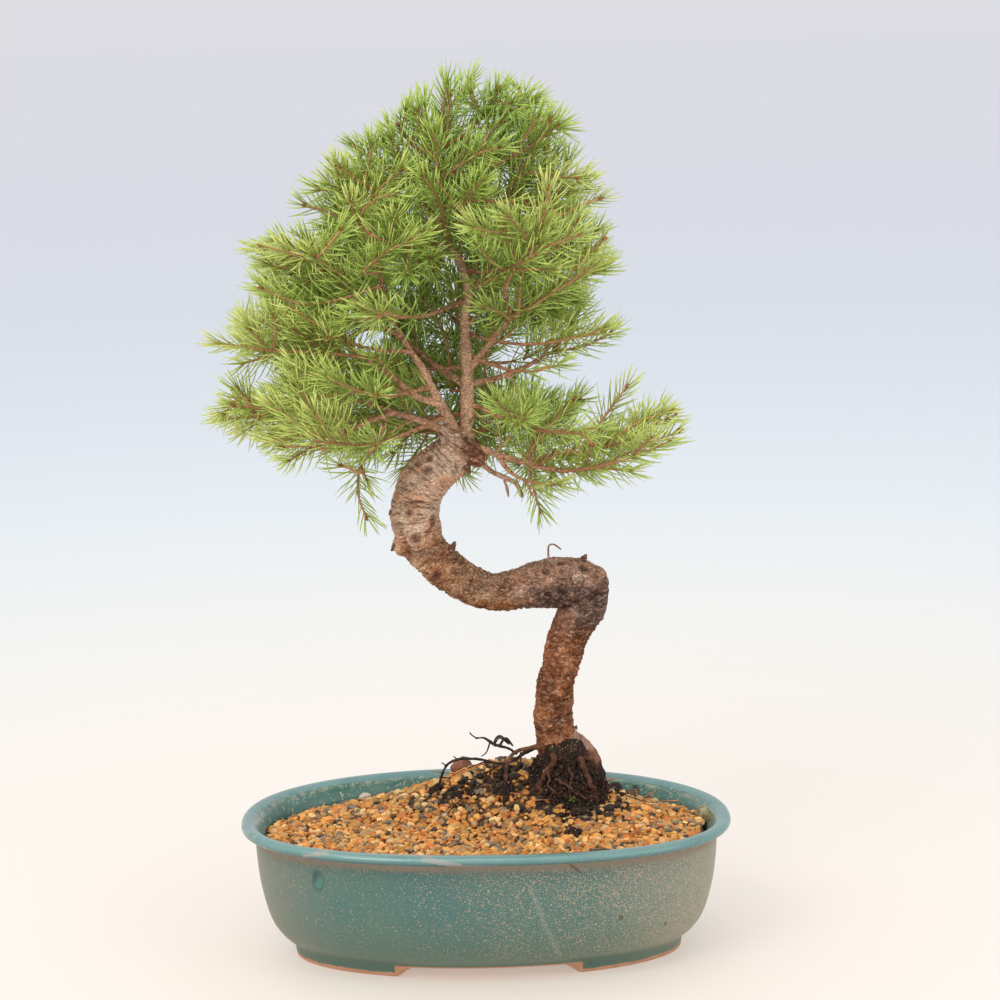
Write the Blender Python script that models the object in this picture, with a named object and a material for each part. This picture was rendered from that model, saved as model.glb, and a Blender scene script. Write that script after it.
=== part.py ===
"""White spruce bonsai in an oval glazed pot.

A bare stem bends twice above a ball of black peat and carries a rounded crown of needle sprays.
The tables and sizes are in millimetres and the scene is in metres. X runs to the right along the pot, Y to
the back and Z up from the ground that the feet stand on. Every place is measured from the middle of the pot,
and world() moves it so that the middle of the whole object's box lies over the scene's origin.
"""

import math
import random

import bmesh
import bpy
import numpy as np

MM = 0.001
BOX_MIDDLE = np.array([-5.0, 0.0, 0.0])
GAP = 0.3

# Pot
POT_HALF_LENGTH = 135.5
POT_HALF_DEPTH = 86.5
POT_HEIGHT = 79.7
DEPTH_PER_INSET = 1.3
MIDDLE_INSET = 55.0
RIM_TILT = -0.0122
RIM_DROP = 2.4
OVAL_POWER = 2.25
OVAL_POWER_LESS_AT_FOOT = 0.25
ROUND_FOOT_HEIGHT = 24.0
OVAL_POINTS = 36
WALL = 6.0
FLOOR_TOP = 13.5
BELLY_INSET = 10.0
INSIDE = [(13, 72), (BELLY_INSET + WALL, 42), (18.5, 28), (24.5, 18), (34, FLOOR_TOP)]
RECESS_HEIGHT = 7.2
FOOT_INSET = 28.4
FOOT_WIDTH = 8.5
CUT_HALF_WIDTH_BOTTOM = 50.0
CUT_HALF_WIDTH_TOP = 42.0
CUT_HEIGHT = 6.4
DRAIN_RADIUS = 8.0
DRAIN_X = 44.0

# Drain mesh pads
PAD_SIZE = 26.0
PAD_THICKNESS = 1.2

# Gravel bed
GRAVEL_RINGS = 18
GRAVEL_EDGE_HEIGHT = 67.5
GRAVEL_FRONT_RISE = 2.5
GRAIN_RELIEF = 1.5
MOUND_CENTRE = (14.0, 38.0)
MOUND_HEIGHT = 24.0
MOUND_SPREAD = (36.0, 24.0)
HEXAGON = ((1, 0), (0, 1), (-1, 1), (-1, 0), (0, -1), (1, -1))

# Root ball of peat
BALL_CENTRE = (45.0, 26.0)
BALL_POINTS = 16
BALL_PROFILE = ((46, 15), (58, 20), (72, 23), (82, 23.5), (91, 21.5), (98, 18.5), (103, 14))
BALL_LUMPS = 1.3

# Wood: places in millimetres with the radius last
STEM = [
    (46, 27, 52, 9), (46, 27, 72, 12), (45, 27, 88, 12.5), (43, 27, 100, 12), (41, 27, 112, 11.5),
    (39, 27, 123, 11), (40, 27, 134, 10.4), (41, 26, 146, 10.6), (44, 26, 157, 10.7), (48, 25, 170, 10.9),
    (53, 24, 181, 11.8),
    (57, 23, 191, 13), (55, 22, 200, 14.2), (47, 21, 203, 14.3), (37, 20, 203, 13.8), (29, 19, 202, 12.6),
    (21, 18, 201, 11.4), (12, 17, 200, 10.8), (3, 15, 201, 10.3), (-8, 13, 206, 10.8), (-17, 11, 213, 11.2),
    (-24, 10, 220, 11.4), (-30, 9, 227, 12.2), (-33, 8, 235, 13), (-35, 8, 244, 13), (-34, 8, 253, 13.1),
    (-31, 8, 261, 13), (-25, 9, 268, 12.8), (-17, 10, 275, 12.3), (-10, 11, 281, 11), (-5, 11, 288, 8.5),
]
BARK_RELIEF = 0.045
STEM_STEP = 9.0
ROOT_STEP = 9.0
THIN_ROOT = 2.0
LIMB_STEP = 17.0
LIMB_FINE_STEP = 2.0

ROOTS = {
    "arch": [(40, 26, 111, 5), (31, 22, 109.5, 2.2), (26, 20, 109, 1.5), (22, 18, 109, 1.2),
             (18.7, 16, 108.7, 1.2), (14.7, 13, 106.6, 1.2), (12.3, 10, 101, 1.2), (11, 8, 91, 1.3),
             (10.8, 8, 84, 1.3), (10, 8, 70, 1.3)],
    "right": [(44, 26, 112, 8), (51, 25, 109, 6.6), (56.5, 24, 104, 6.2), (60, 23, 97, 5.8),
              (61.5, 22, 89, 5), (61, 21, 78, 4.2), (60, 21, 68, 3)],
    "back": [(43, 32, 108, 7), (46, 44, 98, 4.5), (49, 51, 86, 3.5), (50, 54, 70, 2.6)],
    "hair": [(18, 16, 107, 1.4), (13, 14, 111, 1.1), (6, 14, 113, 1.5), (0, 14, 117, 0.9),
             (-5, 14, 117, 0.8)],
    "runner": [(31, 22, 110, 1.9), (23, 22, 106, 1.4), (15, 22, 101, 1.2), (7, 22, 100, 1.1),
               (-3, 24, 102, 1), (-14, 29, 101, 1),
               (-21, 33, 97, 0.9), (-25, 35, 89, 0.9), (-28, 36, 74, 0.9)],
    "nub": [(40, 34, 72, 4), (20, 46, 69, 3), (0, 56, 70, 3), (-10, 58, 76, 3.8), (-14, 58, 83, 4.6),
            (-17, 58, 87, 3.6)],
}

# Burrs and knots on the stem: middle, half sizes
BURRS = [
    ((63, 22, 203), (8, 10, 9)), ((46, 16, 212), (9, 9, 6)), ((-44, 8, 231), (7, 8, 7)), ((-32, 0, 268),
    (6, 6, 6)),
    ((3, 8, 277), (6, 7, 6)), ((-3, 13, 288), (9, 9, 8)), ((-14, 5, 291), (7, 6, 6)),
]

# Limbs drawn by hand: radius at the start, share of the length that is bare wood, route
LIMBS = {
    "leader_main": (4.4, 0.88, [(-6, 11, 284), (-5, 11, 297), (-5, 11, 310), (-4, 10, 321), (-5, 8, 341),
                                (-4, 8, 362), (-2, 9, 371), (-6, 10, 381), (-12, 10, 392), (-17, 9, 401),
                                (-18, 7, 421), (-17, 6, 440), (-15, 6, 455), (-12, 5, 476)]),
    "leader_left": (4.0, 0.62, [(-10, 10, 284), (-14, 6, 295), (-19, -2, 307), (-24, -8, 319),
                                (-29, -12, 330),
                                (-39, -16, 347), (-46, -20, 366), (-50, -24, 386), (-52, -26, 402)]),
    "low_left": (2.6, 0.45, [(-9, 9, 286), (-18, 5, 292), (-30, 0, 299), (-44, -5, 304), (-64, -10, 312),
                             (-78, -12, 313), (-94, -14, 308), (-110, -15, 306), (-137, -15, 304)]),
    "low_left_fork": (1.7, 0.35, [(-44, -5, 304), (-54, -13, 302), (-67, -25, 298), (-82, -38, 294),
                                  (-97, -50, 287)]),
    "hanging": (1.6, 0.45, [(-47, -6, 305), (-52, -10, 292), (-60, -18, 281), (-64, -22, 271),
                            (-61, -25, 258)]),
    "front_left": (2.2, 0.42, [(-20, -3, 308), (-32, -12, 314), (-42, -20, 324), (-53, -26, 333),
                               (-65, -30, 341),
                               (-86, -34, 341), (-107, -36, 343), (-132, -36, 347)]),
    "back_left": (2.2, 0.45, [(-5, 10, 316), (-19, 20, 324), (-33, 28, 334), (-39, 30, 341), (-49, 32, 355),
                              (-63, 32, 366), (-84, 30, 383), (-102, 28, 389), (-120, 27, 391)]),
    "low_right": (2.4, 0.45, [(-8, 9, 283), (0, 8, 282), (12, 4, 278), (26, 0, 275), (45, -4, 280),
                              (66, -8, 282),
                              (84, -10, 290), (106, -10, 300)]),
    "low_right_fork": (1.7, 0.32, [(26, 0, 275), (44, -15, 272), (65, -28, 276), (86, -38, 284),
                                   (104, -42, 292)]),
    "low_tuft": (1.4, 0.4, [(11, 4, 278), (18, -5, 270), (28, -13, 266), (42, -18, 265)]),
    "riser_right": (1.5, 0.4, [(27, 0, 275), (34, 12, 288), (50, 22, 302), (74, 28, 319)]),
    "mid_right": (2.1, 0.48, [(-4, 10, 316), (13, 16, 319), (30, 22, 325), (40, 26, 332), (54, 28, 334),
                              (76, 30, 339)]),
    "high_right": (2.1, 0.5, [(-5, 9, 322), (8, 2, 339), (19, -6, 353), (30, -10, 361), (46, -14, 371),
                              (73, -16, 381)]),
    "high_right_fork": (1.5, 0.4, [(20, -6, 354), (17, -20, 370), (25, -32, 387), (33, -38, 398),
                                   (38, -42, 410)]),
    "dead_end": (1.6, 1.0, [(-4, 9, 280), (6, 6, 270), (15, 1, 266), (21, -2, 263), (24, -4, 256)]),
    "dead_stub": (1.4, 1.0, [(38, 19, 214), (38, 19, 224), (41, 19, 225), (45, 19, 222)]),
    "short_twig": (1.4, 1.0, [(-5, 11, 303), (2, 7, 299), (8, 3, 296)]),
}

# Limbs set out by the crown's envelope: leader, height of the start, azimuth in degrees, height of the end
CROWN = [
    ("leader_main", 292, 62, 296), ("leader_main", 296, 118, 290), ("leader_main", 300, 152, 306),
    ("leader_main", 306, 318, 300), ("leader_left", 300, 236, 300), ("leader_main", 316, 88, 320),
    ("leader_main", 326, 132, 336), ("leader_main", 330, 48, 334), ("leader_left", 318, 242, 332),
    ("leader_main", 332, 318, 336), ("leader_main", 344, 340, 350), ("leader_main", 350, 90, 364),
    ("leader_left", 338, 224, 366), ("leader_main", 362, 250, 368), ("leader_left", 349, 156, 376),
    ("leader_main", 372, 20, 396), ("leader_main", 378, 310, 398), ("leader_main", 386, 92, 402),
    ("leader_left", 345, 196, 408), ("leader_main", 394, 246, 404), ("leader_main", 400, 140, 420),
    ("leader_main", 404, 356, 426), ("leader_main", 408, 48, 428), ("leader_main", 414, 285, 430),
    ("leader_main", 420, 205, 436), ("leader_main", 425, 105, 445), ("leader_main", 430, 345, 454),
    ("leader_main", 434, 165, 448), ("leader_main", 440, 195, 466), ("leader_main", 444, 50, 474),
]
# Half width and middle of the crown by height, as seen from the front
CROWN_HEIGHTS = (262, 285, 303, 345, 370, 393, 412, 425, 446, 470, 484)
CROWN_HALF_WIDTHS = (70, 110, 129, 113, 103, 102, 86, 78, 70, 44, 20)
CROWN_MIDDLES = (-16, -16, -16, -26, -24, -20, -14, -10, -8, -2, -6)
CROWN_DEPTH_SHARE = 0.74
CROWN_INSET = 8.5
LIMB_RADIUS = 1.9
LIMB_BARE_SHARE = 0.42
LIMB_SAG = 7.0
TWIG_END_RADIUS = 1.1

# Sprays of needles
SHOOT_STEP = 4.2
SHOOT_RADIUS = 1.05
SHOOT_END_RADIUS = 0.55
SHOOT_TWIST = math.radians(11)
CORE_GAP = 0.55
CORE_CLEARANCE = 1.6
CORE_TRIES = 60
NEEDLE_LENGTH = 15.5
TIP_NEEDLE = 8.0
NEEDLE_LEAN = math.radians(63)
NEEDLE_LEAN_LESS_AT_TIP = math.radians(28)
NEEDLE_LIFT = np.array([0.0, 0.0, 0.16])
NEEDLE_ROOT_RADIUS = 1.45
NEEDLE_CLEARANCE = 0.3
NEEDLE_TRIES = 7
SIDE_SHOOT_LENGTH = 27.0
SIDE_SHOOT_EVERY = 21.0
SIDE_SHOOT_ANGLE = math.radians(46)
SIDE_SHOOT_LIFT = np.array([0.0, 0.0, 0.12])
SIDE_SHOOT_FIRST_SHARE = 0.3
SIDE_SHOOT_LEAST_REST = 14.0
SIDE_SHOOT_TRIES = 14

OBJECT_NAME = "WhiteSpruceBonsai"


def clear_scene():
    """Remove what the start-up scene holds."""
    for item in list(bpy.data.objects):
        bpy.data.objects.remove(item, do_unlink=True)


def make_collection(name):
    collection = bpy.data.collections.new(name)
    bpy.context.scene.collection.children.link(collection)
    return collection


def make_material(name, colour, roughness):
    material = bpy.data.materials.new(name)
    material.use_nodes = True
    shader = material.node_tree.nodes["Principled BSDF"]
    shader.inputs["Base Color"].default_value = (*colour, 1.0)
    shader.inputs["Roughness"].default_value = roughness
    shader.inputs["Metallic"].default_value = 0.0
    return material


def world(points):
    """Millimetres from the middle of the pot to metres in the scene."""
    return (np.asarray(points, float)[..., :3] - BOX_MIDDLE) * MM


def mesh_object(name, points, faces, material, collection):
    """An object from points in millimetres."""
    mesh = bpy.data.meshes.new(name)
    mesh.from_pydata(world(points).tolist(), [], faces)
    mesh.update()
    item = bpy.data.objects.new(name, mesh)
    if material:
        mesh.materials.append(material)
    collection.objects.link(item)
    return item


def shade(item, angle=40):
    item.data.shade_smooth()
    item.data.set_sharp_from_angle(angle=math.radians(angle))


def hide_cutter(item):
    item.hide_render = True
    item.display_type = "WIRE"


def oval(inset, height, points=OVAL_POINTS):
    """A rounded oval at one height: the rim moved inwards by the inset, rounder near the foot.

    The rim sags towards both ends of the pot, more so on the right.
    """
    angle = np.arange(points) * 2 * math.pi / points
    cosine, sine = np.cos(angle), np.sin(angle)
    power = OVAL_POWER - OVAL_POWER_LESS_AT_FOOT * max(0, 1 - height / ROUND_FOOT_HEIGHT)
    x = (POT_HALF_LENGTH - inset) * np.sign(cosine) * np.abs(cosine) ** (2 / power)
    y = (POT_HALF_DEPTH - DEPTH_PER_INSET * inset) * np.sign(sine) * np.abs(sine) ** (2 / power)
    sag = RIM_TILT * x - RIM_DROP * (x / POT_HALF_LENGTH) ** 2
    return np.stack([x, y, height + sag * max(height - RECESS_HEIGHT, 0) / POT_HEIGHT], axis=1)


def loft(rings):
    """Points and faces of a closed solid through rings with the same number of points, bottom first."""
    count = len(rings[0])
    faces = [tuple(reversed(range(count)))]
    for level in range(len(rings) - 1):
        low, high = level * count, (level + 1) * count
        for i in range(count):
            j = (i + 1) % count
            faces.append((low + i, low + j, high + j))
            faces.append((low + i, high + j, high + i))
    faces.append(tuple(range((len(rings) - 1) * count, len(rings) * count)))
    return np.vstack(rings), faces


def boolean(item, operation, other, solver="EXACT"):
    """Add a Boolean modifier with an object or a whole collection."""
    modifier = item.modifiers.new("Boolean", "BOOLEAN")
    modifier.operation = operation
    modifier.solver = solver
    if isinstance(other, bpy.types.Collection):
        modifier.operand_type = "COLLECTION"
        modifier.collection = other
    else:
        modifier.object = other
    return modifier


def freeze(item):
    """Replace an object's mesh by its evaluated mesh and drop the modifiers."""
    evaluated = item.evaluated_get(bpy.context.evaluated_depsgraph_get())
    mesh = bpy.data.meshes.new_from_object(evaluated)
    mesh.name = item.name
    item.modifiers.clear()
    item.data = mesh


def keep_largest(item):
    """Drop the loose scraps and the sealed hollows that joining or cutting leaves beside the main skin."""
    work = bmesh.new()
    work.from_mesh(item.data)
    left = set(work.faces)
    groups = []
    while left:
        stack = [left.pop()]
        group = []
        while stack:
            face = stack.pop()
            group.append(face)
            for edge in face.edges:
                for other in edge.link_faces:
                    if other in left:
                        left.discard(other)
                        stack.append(other)
        groups.append(group)
    groups.sort(key=len)
    for group in groups[:-1]:
        bmesh.ops.delete(work, geom=group, context="FACES")
    work.to_mesh(item.data)
    work.free()


# Pot


def pot_profile():
    """Inset from the rim and height, from the middle of the underside over the lip to the middle inside."""
    under = [(MIDDLE_INSET, RECESS_HEIGHT), (FOOT_INSET + FOOT_WIDTH + 1.5, RECESS_HEIGHT),
             (FOOT_INSET + FOOT_WIDTH, 0)]
    foot = [(FOOT_INSET, 0), (FOOT_INSET - 1.2, RECESS_HEIGHT + 0.2)]
    belly = [(25.4, 9.2), (19.8, 14.5), (14.4, 24), (BELLY_INSET, 42), (8.2, 60), (7.8, 73.2)]
    lip = [(1.6, 74.9), (0, 76.6), (0.5, 78.8), (2.6, POT_HEIGHT), (6.2, 79.4), (9, 77.3)]
    return under + foot + belly + lip + INSIDE + [(MIDDLE_INSET, FLOOR_TOP)]


def foot_cutter(collection, material):
    """A long bar across the pot that parts the foot ring into a left and a right foot."""
    low, high = -1.0, CUT_HEIGHT
    bottom = CUT_HALF_WIDTH_BOTTOM + (CUT_HALF_WIDTH_BOTTOM - CUT_HALF_WIDTH_TOP) * 1.0 / CUT_HEIGHT
    section = [(-bottom, low), (bottom, low), (CUT_HALF_WIDTH_TOP, high), (-CUT_HALF_WIDTH_TOP, high)]
    rings = [np.array([(x, y, z) for x, z in section]) for y in (POT_HALF_DEPTH, -POT_HALF_DEPTH)]
    points, faces = loft(rings)
    cutter = mesh_object("foot_cutter", points, faces, material, collection)
    hide_cutter(cutter)
    return cutter


def drain_cutter(name, x, collection):
    bpy.ops.mesh.primitive_cylinder_add(vertices=16, radius=DRAIN_RADIUS * MM, depth=40 * MM,
                                        location=world((x, 0, 10)))
    cutter = bpy.context.object
    cutter.name = name
    for owner in list(cutter.users_collection):
        owner.objects.unlink(cutter)
    collection.objects.link(cutter)
    hide_cutter(cutter)
    return cutter


def make_pot(parts, cutters):
    glaze = make_material("glazed_stoneware", (0.07, 0.24, 0.25), 0.35)
    points, faces = loft([oval(inset, height) for inset, height in pot_profile()])
    pot = mesh_object("pot", points, faces, glaze, parts)
    boolean(pot, "DIFFERENCE", foot_cutter(cutters, glaze))
    boolean(pot, "DIFFERENCE", drain_cutter("drain_cutter_left", -DRAIN_X, cutters))
    boolean(pot, "DIFFERENCE", drain_cutter("drain_cutter_right", DRAIN_X, cutters))
    shade(pot)
    return pot


def make_drain_mesh(name, x, parts):
    """A thin square pad of plastic mesh over one drain hole."""
    plastic = make_material(name, (0.03, 0.03, 0.03), 0.6)
    bpy.ops.mesh.primitive_cube_add(size=1, location=world((x, 0, FLOOR_TOP + GAP + PAD_THICKNESS / 2)))
    pad = bpy.context.object
    pad.name = name
    pad.scale = (PAD_SIZE * MM, PAD_SIZE * MM, PAD_THICKNESS * MM)
    bpy.ops.object.transform_apply(location=False, rotation=False, scale=True)
    for owner in list(pad.users_collection):
        owner.objects.unlink(pad)
    parts.objects.link(pad)
    pad.data.materials.append(plastic)
    return pad


# Gravel bed


def inside_inset(height):
    """How far the inside of the pot's wall lies in from the rim at a height."""
    insets, heights = zip(*reversed(INSIDE))
    return float(np.interp(height, heights, insets))


def gravel_height(x, y):
    """Height of the bed without its grains: a level edge, a little higher at the front, and a mound."""
    front = GRAVEL_FRONT_RISE * (0.5 - y / (2 * POT_HALF_DEPTH))
    spread = ((x - MOUND_CENTRE[0]) / MOUND_SPREAD[0]) ** 2 + ((y - MOUND_CENTRE[1]) / MOUND_SPREAD[1]) ** 2
    return GRAVEL_EDGE_HEIGHT + front + MOUND_HEIGHT * math.exp(-spread / 2)


def gravel_ring(step, draw):
    """One ring of the top: six points more than the ring inside it, every third one the top of a grain."""
    count = 6 * step
    share = step / GRAVEL_RINGS
    edge = oval(inside_inset(GRAVEL_EDGE_HEIGHT) + 2 * GAP, GRAVEL_EDGE_HEIGHT)
    ring = []
    for i in range(count):
        place = i * OVAL_POINTS / count
        low = int(place) % len(edge)
        high = (low + 1) % len(edge)
        x, y = (edge[low] * (1 - place % 1) + edge[high] * (place % 1))[:2] * share
        # Places on a triangle lattice in two slanted steps: every third one is the top of a grain
        side, along = divmod(i, step)
        corner, walk = HEXAGON[side], HEXAGON[(side + 2) % 6]
        first, second = (step * corner[k] + along * walk[k] for k in (0, 1))
        grain = (first - second) % 3 == 0
        jitter = 0.0 if step == GRAVEL_RINGS else 0.9
        x += draw.uniform(-jitter, jitter)
        y += draw.uniform(-jitter, jitter)
        lift = draw.uniform(0.6, 1.3) if grain else -draw.uniform(0.5, 1.0)
        if step == GRAVEL_RINGS:
            lift = -0.6
        ring.append((x, y, gravel_height(x, y) + GRAIN_RELIEF * lift))
    return ring


def make_gravel(parts):
    """A bed with a knobbly top that follows the inside of the pot with a small gap."""
    draw = random.Random(11)
    stone = make_material("gravel", (0.55, 0.30, 0.11), 0.85)
    points = [(0.0, 0.0, gravel_height(0, 0) + GRAIN_RELIEF)]
    rings = [[0]]
    for step in range(1, GRAVEL_RINGS + 1):
        start = len(points)
        points += gravel_ring(step, draw)
        rings.append(list(range(start, len(points))))
    faces = []
    for step in range(1, GRAVEL_RINGS + 1):
        outer, inner = rings[step], rings[step - 1]
        for side in range(6):
            for k in range(step):
                a = outer[side * step + k]
                b = outer[(side * step + k + 1) % len(outer)]
                c = inner[(side * (step - 1) + k) % len(inner)]
                faces.append((a, b, c))
                if k < step - 1:
                    d = inner[(side * (step - 1) + k + 1) % len(inner)]
                    faces.append((b, d, c))
    edge = rings[-1]
    floor = FLOOR_TOP + 2 * GAP + PAD_THICKNESS
    for height in (42.0, 28.0, 18.0, floor):
        start = len(points)
        points += [tuple(place) for place in oval(inside_inset(height) + 2 * GAP, height)]
        lower = list(range(start, len(points)))
        parts_of_side = len(edge) // OVAL_POINTS
        for i in range(OVAL_POINTS):
            j = (i + 1) % OVAL_POINTS
            above = [edge[(i * parts_of_side + k) % len(edge)] for k in range(parts_of_side + 1)]
            faces.append((lower[i], lower[j], above[0]))
            for a, b in zip(above[:-1], above[1:]):
                faces.append((lower[j], b, a))
        edge = lower
    faces.append(tuple(reversed(edge)))
    return mesh_object("gravel", np.array(points), faces, stone, parts)


# Root ball


def ball_rings(grow):
    """Rings of the peat ball, with lumps by a formula, grown outwards by a distance."""
    rings = []
    angle = np.arange(BALL_POINTS) * 2 * math.pi / BALL_POINTS
    for level, (height, radius) in enumerate(BALL_PROFILE):
        lumps = BALL_LUMPS * (np.sin(3 * angle + 1.3 * level) + 0.6 * np.sin(5 * angle - 2.1 * level))
        reach = radius + grow + lumps
        end = level in (0, len(BALL_PROFILE) - 1)
        lift = grow * (1 if level else -1) if end else 0
        rings.append(np.stack([BALL_CENTRE[0] + reach * np.cos(angle),
                               BALL_CENTRE[1] + 0.9 * reach * np.sin(angle),
                               np.full(BALL_POINTS, height + lift)], axis=1))
    return rings


def make_root_ball(parts):
    peat = make_material("peat", (0.025, 0.018, 0.014), 0.95)
    points, faces = loft(ball_rings(0.0))
    return mesh_object("root_ball", points, faces, peat, parts)


# Wood


def smooth_route(points, step):
    """Evenly spaced points on a Catmull-Rom curve through the given ones; every column is carried along."""
    p = np.asarray(points, float)
    p = np.vstack([2 * p[0] - p[1], p, 2 * p[-1] - p[-2]])
    fine = []
    t = np.linspace(0, 1, 12, endpoint=False)[:, None]
    for a, b, c, d in zip(p[:-3], p[1:-2], p[2:-1], p[3:]):
        fine.append(0.5 * (2 * b + (c - a) * t + (2 * a - 5 * b + 4 * c - d) * t ** 2
                           + (3 * b - a - 3 * c + d) * t ** 3))
    fine = np.vstack(fine + [p[-2][None]])
    length = np.concatenate([[0], np.cumsum(np.linalg.norm(np.diff(fine[:, :3], axis=0), axis=1))])
    count = max(2, int(round(length[-1] / step)) + 1)
    stations = np.linspace(0, length[-1], count)
    return np.stack([np.interp(stations, length, column) for column in fine.T], axis=1)


def tapered_tube(name, route, resolution, collection, grow=0.0):
    """A round tube along a route of x, y, z and radius: a bevelled curve turned into a welded mesh."""
    curve = bpy.data.curves.new(name, "CURVE")
    curve.dimensions = "3D"
    curve.bevel_depth = MM
    curve.bevel_resolution = resolution
    curve.use_fill_caps = True
    spline = curve.splines.new("POLY")
    spline.points.add(len(route) - 1)
    for point, place, stop in zip(spline.points, world(route), route):
        point.co = (*place, 1.0)
        point.radius = stop[3] + grow
    shape = bpy.data.objects.new(name, curve)
    collection.objects.link(shape)
    evaluated = shape.evaluated_get(bpy.context.evaluated_depsgraph_get())
    mesh = bpy.data.meshes.new_from_object(evaluated)
    work = bmesh.new()
    work.from_mesh(mesh)
    bmesh.ops.remove_doubles(work, verts=work.verts, dist=0.00001)
    bmesh.ops.recalc_face_normals(work, faces=work.faces)
    bmesh.ops.triangulate(work, faces=work.faces, quad_method="FIXED")
    work.to_mesh(mesh)
    work.free()
    item = bpy.data.objects.new(name + "_tube", mesh)
    item.matrix_world = shape.matrix_world.copy()
    collection.objects.link(item)
    bpy.data.objects.remove(shape)
    return item


def add_bark(item, route):
    """Push the stem's skin in and out: long ridges with cross wrinkles, as a share of the radius."""
    centres = world(route)
    for vertex in item.data.vertices:
        place = np.array(vertex.co)
        nearest = int(np.argmin(np.linalg.norm(centres - place, axis=1)))
        out = place - centres[nearest]
        turn = math.atan2(out[1], out[0] + 0.6 * out[2])
        ridge = math.sin(5 * turn + 0.35 * nearest) + 0.7 * math.sin(2.3 * nearest + 3 * turn)
        vertex.co = centres[nearest] + out * (1 + BARK_RELIEF * ridge)


def add_burr(name, middle, half_sizes, collection):
    work = bmesh.new()
    bmesh.ops.create_icosphere(work, subdivisions=1, radius=1.0)
    place = world(middle)
    for vertex in work.verts:
        for axis in range(3):
            vertex.co[axis] = place[axis] + vertex.co[axis] * half_sizes[axis] * MM
    mesh = bpy.data.meshes.new(name)
    work.to_mesh(mesh)
    work.free()
    item = bpy.data.objects.new(name, mesh)
    collection.objects.link(item)
    return item


def envelope_point(height, azimuth):
    """A place inside the crown's envelope at a height, in a direction seen from above."""
    middle = np.interp(height, CROWN_HEIGHTS, CROWN_MIDDLES)
    half = np.interp(height, CROWN_HEIGHTS, CROWN_HALF_WIDTHS) - CROWN_INSET
    return np.array([middle + half * math.cos(azimuth), CROWN_DEPTH_SHARE * half * math.sin(azimuth), height])


def crown_limb(leader, start_height, azimuth, end_height):
    """Route of a limb from its leader out to the envelope, sagging a little between."""
    route = np.array(LIMBS[leader][2], float)
    start = np.array([np.interp(start_height, route[:, 2], column) for column in route.T])
    end = envelope_point(end_height, azimuth)
    share = np.linspace(0, 1, 5)[:, None]
    side = np.cross(end - start, (0, 0, 1))
    side /= np.linalg.norm(side)
    points = start + (end - start) * share
    points[:, 2] -= LIMB_SAG * np.sin(share[:, 0] * math.pi)
    points += 2.5 * np.sin(share * 2 * math.pi + azimuth * 3) * side
    return points


def all_limbs():
    """Name, radius at the start, bare share and route of every limb, those set out by the envelope last."""
    rows = [(name, *row) for name, row in LIMBS.items()]
    for number, (leader, start, azimuth, end) in enumerate(CROWN, 1):
        route = crown_limb(leader, start, math.radians(azimuth), end)
        radius = LIMB_RADIUS - 0.45 * (start - CROWN[0][1]) / (CROWN[-1][1] - CROWN[0][1])
        rows.append((f"crown_{number:02d}", radius, LIMB_BARE_SHARE, route))
    return rows


def split_limb(radius, bare_share, route):
    """The bare wood with its radii, and the rest of the route for the needles' core."""
    fine = smooth_route(route, LIMB_FINE_STEP)
    last = max(2, int(round(bare_share * (len(fine) - 1))))
    wood = fine[: last + 1]
    radii = radius + (TWIG_END_RADIUS - radius) * np.linspace(0, 1, len(wood)) ** 0.8
    return np.column_stack([wood, radii]), fine[last:]


def thin_out(route, step):
    """Fewer stations on a route, the ends kept."""
    count = max(2, int(round(len(route) * LIMB_FINE_STEP / step)) + 1)
    keep = np.unique(np.linspace(0, len(route) - 1, count).astype(int))
    return route[keep]


def make_wood(parts, cutters):
    """Stem, roots, burrs and bare limbs, joined into one solid; returns it with the sprays' routes."""
    bark = make_material("bark", (0.33, 0.20, 0.13), 0.85)
    pieces = make_collection("wood_pieces")
    stem_route = smooth_route(STEM, STEM_STEP)
    stem = tapered_tube("stem", stem_route, 3, pieces)
    add_bark(stem, stem_route)
    swollen = tapered_tube("stem_cutter", stem_route, 3, cutters, GAP)
    add_bark(swollen, stem_route)
    cutter_pieces = [swollen]
    for name, points in ROOTS.items():
        route = smooth_route(points, ROOT_STEP)
        sides = 1 if route[:, 3].max() > THIN_ROOT else 0
        tapered_tube(name, route, sides, pieces)
        cutter_pieces.append(tapered_tube(name + "_cutter", route, sides, cutters, GAP + 0.1))
    for number, (middle, half_sizes) in enumerate(BURRS, 1):
        add_burr(f"burr_{number:02d}", middle, half_sizes, pieces)
    segments = []
    sprays = []
    for name, radius, bare_share, route in all_limbs():
        wood, rest = split_limb(radius, bare_share, route)
        wood = thin_out(wood, LIMB_STEP)
        tapered_tube(name, wood, 1 if radius > 2 else 0, pieces)
        segments.append(wood)
        if bare_share < 1.0:
            sprays.append((name, rest))
    segments.append(stem_route)
    wood_object = pieces.objects["stem_tube"]
    pieces.objects.unlink(wood_object)
    parts.objects.link(wood_object)
    boolean(wood_object, "UNION", pieces, "MANIFOLD")
    freeze(wood_object)
    wood_object.name = "wood"
    wood_object.data.name = "wood"
    wood_object.data.materials.clear()
    wood_object.data.materials.append(bark)
    keep_largest(wood_object)
    shade(wood_object)
    for item in list(pieces.objects):
        bpy.data.objects.remove(item)
    bpy.data.collections.remove(pieces)
    return wood_object, cutter_pieces, segments, sprays


# Sprays


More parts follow.
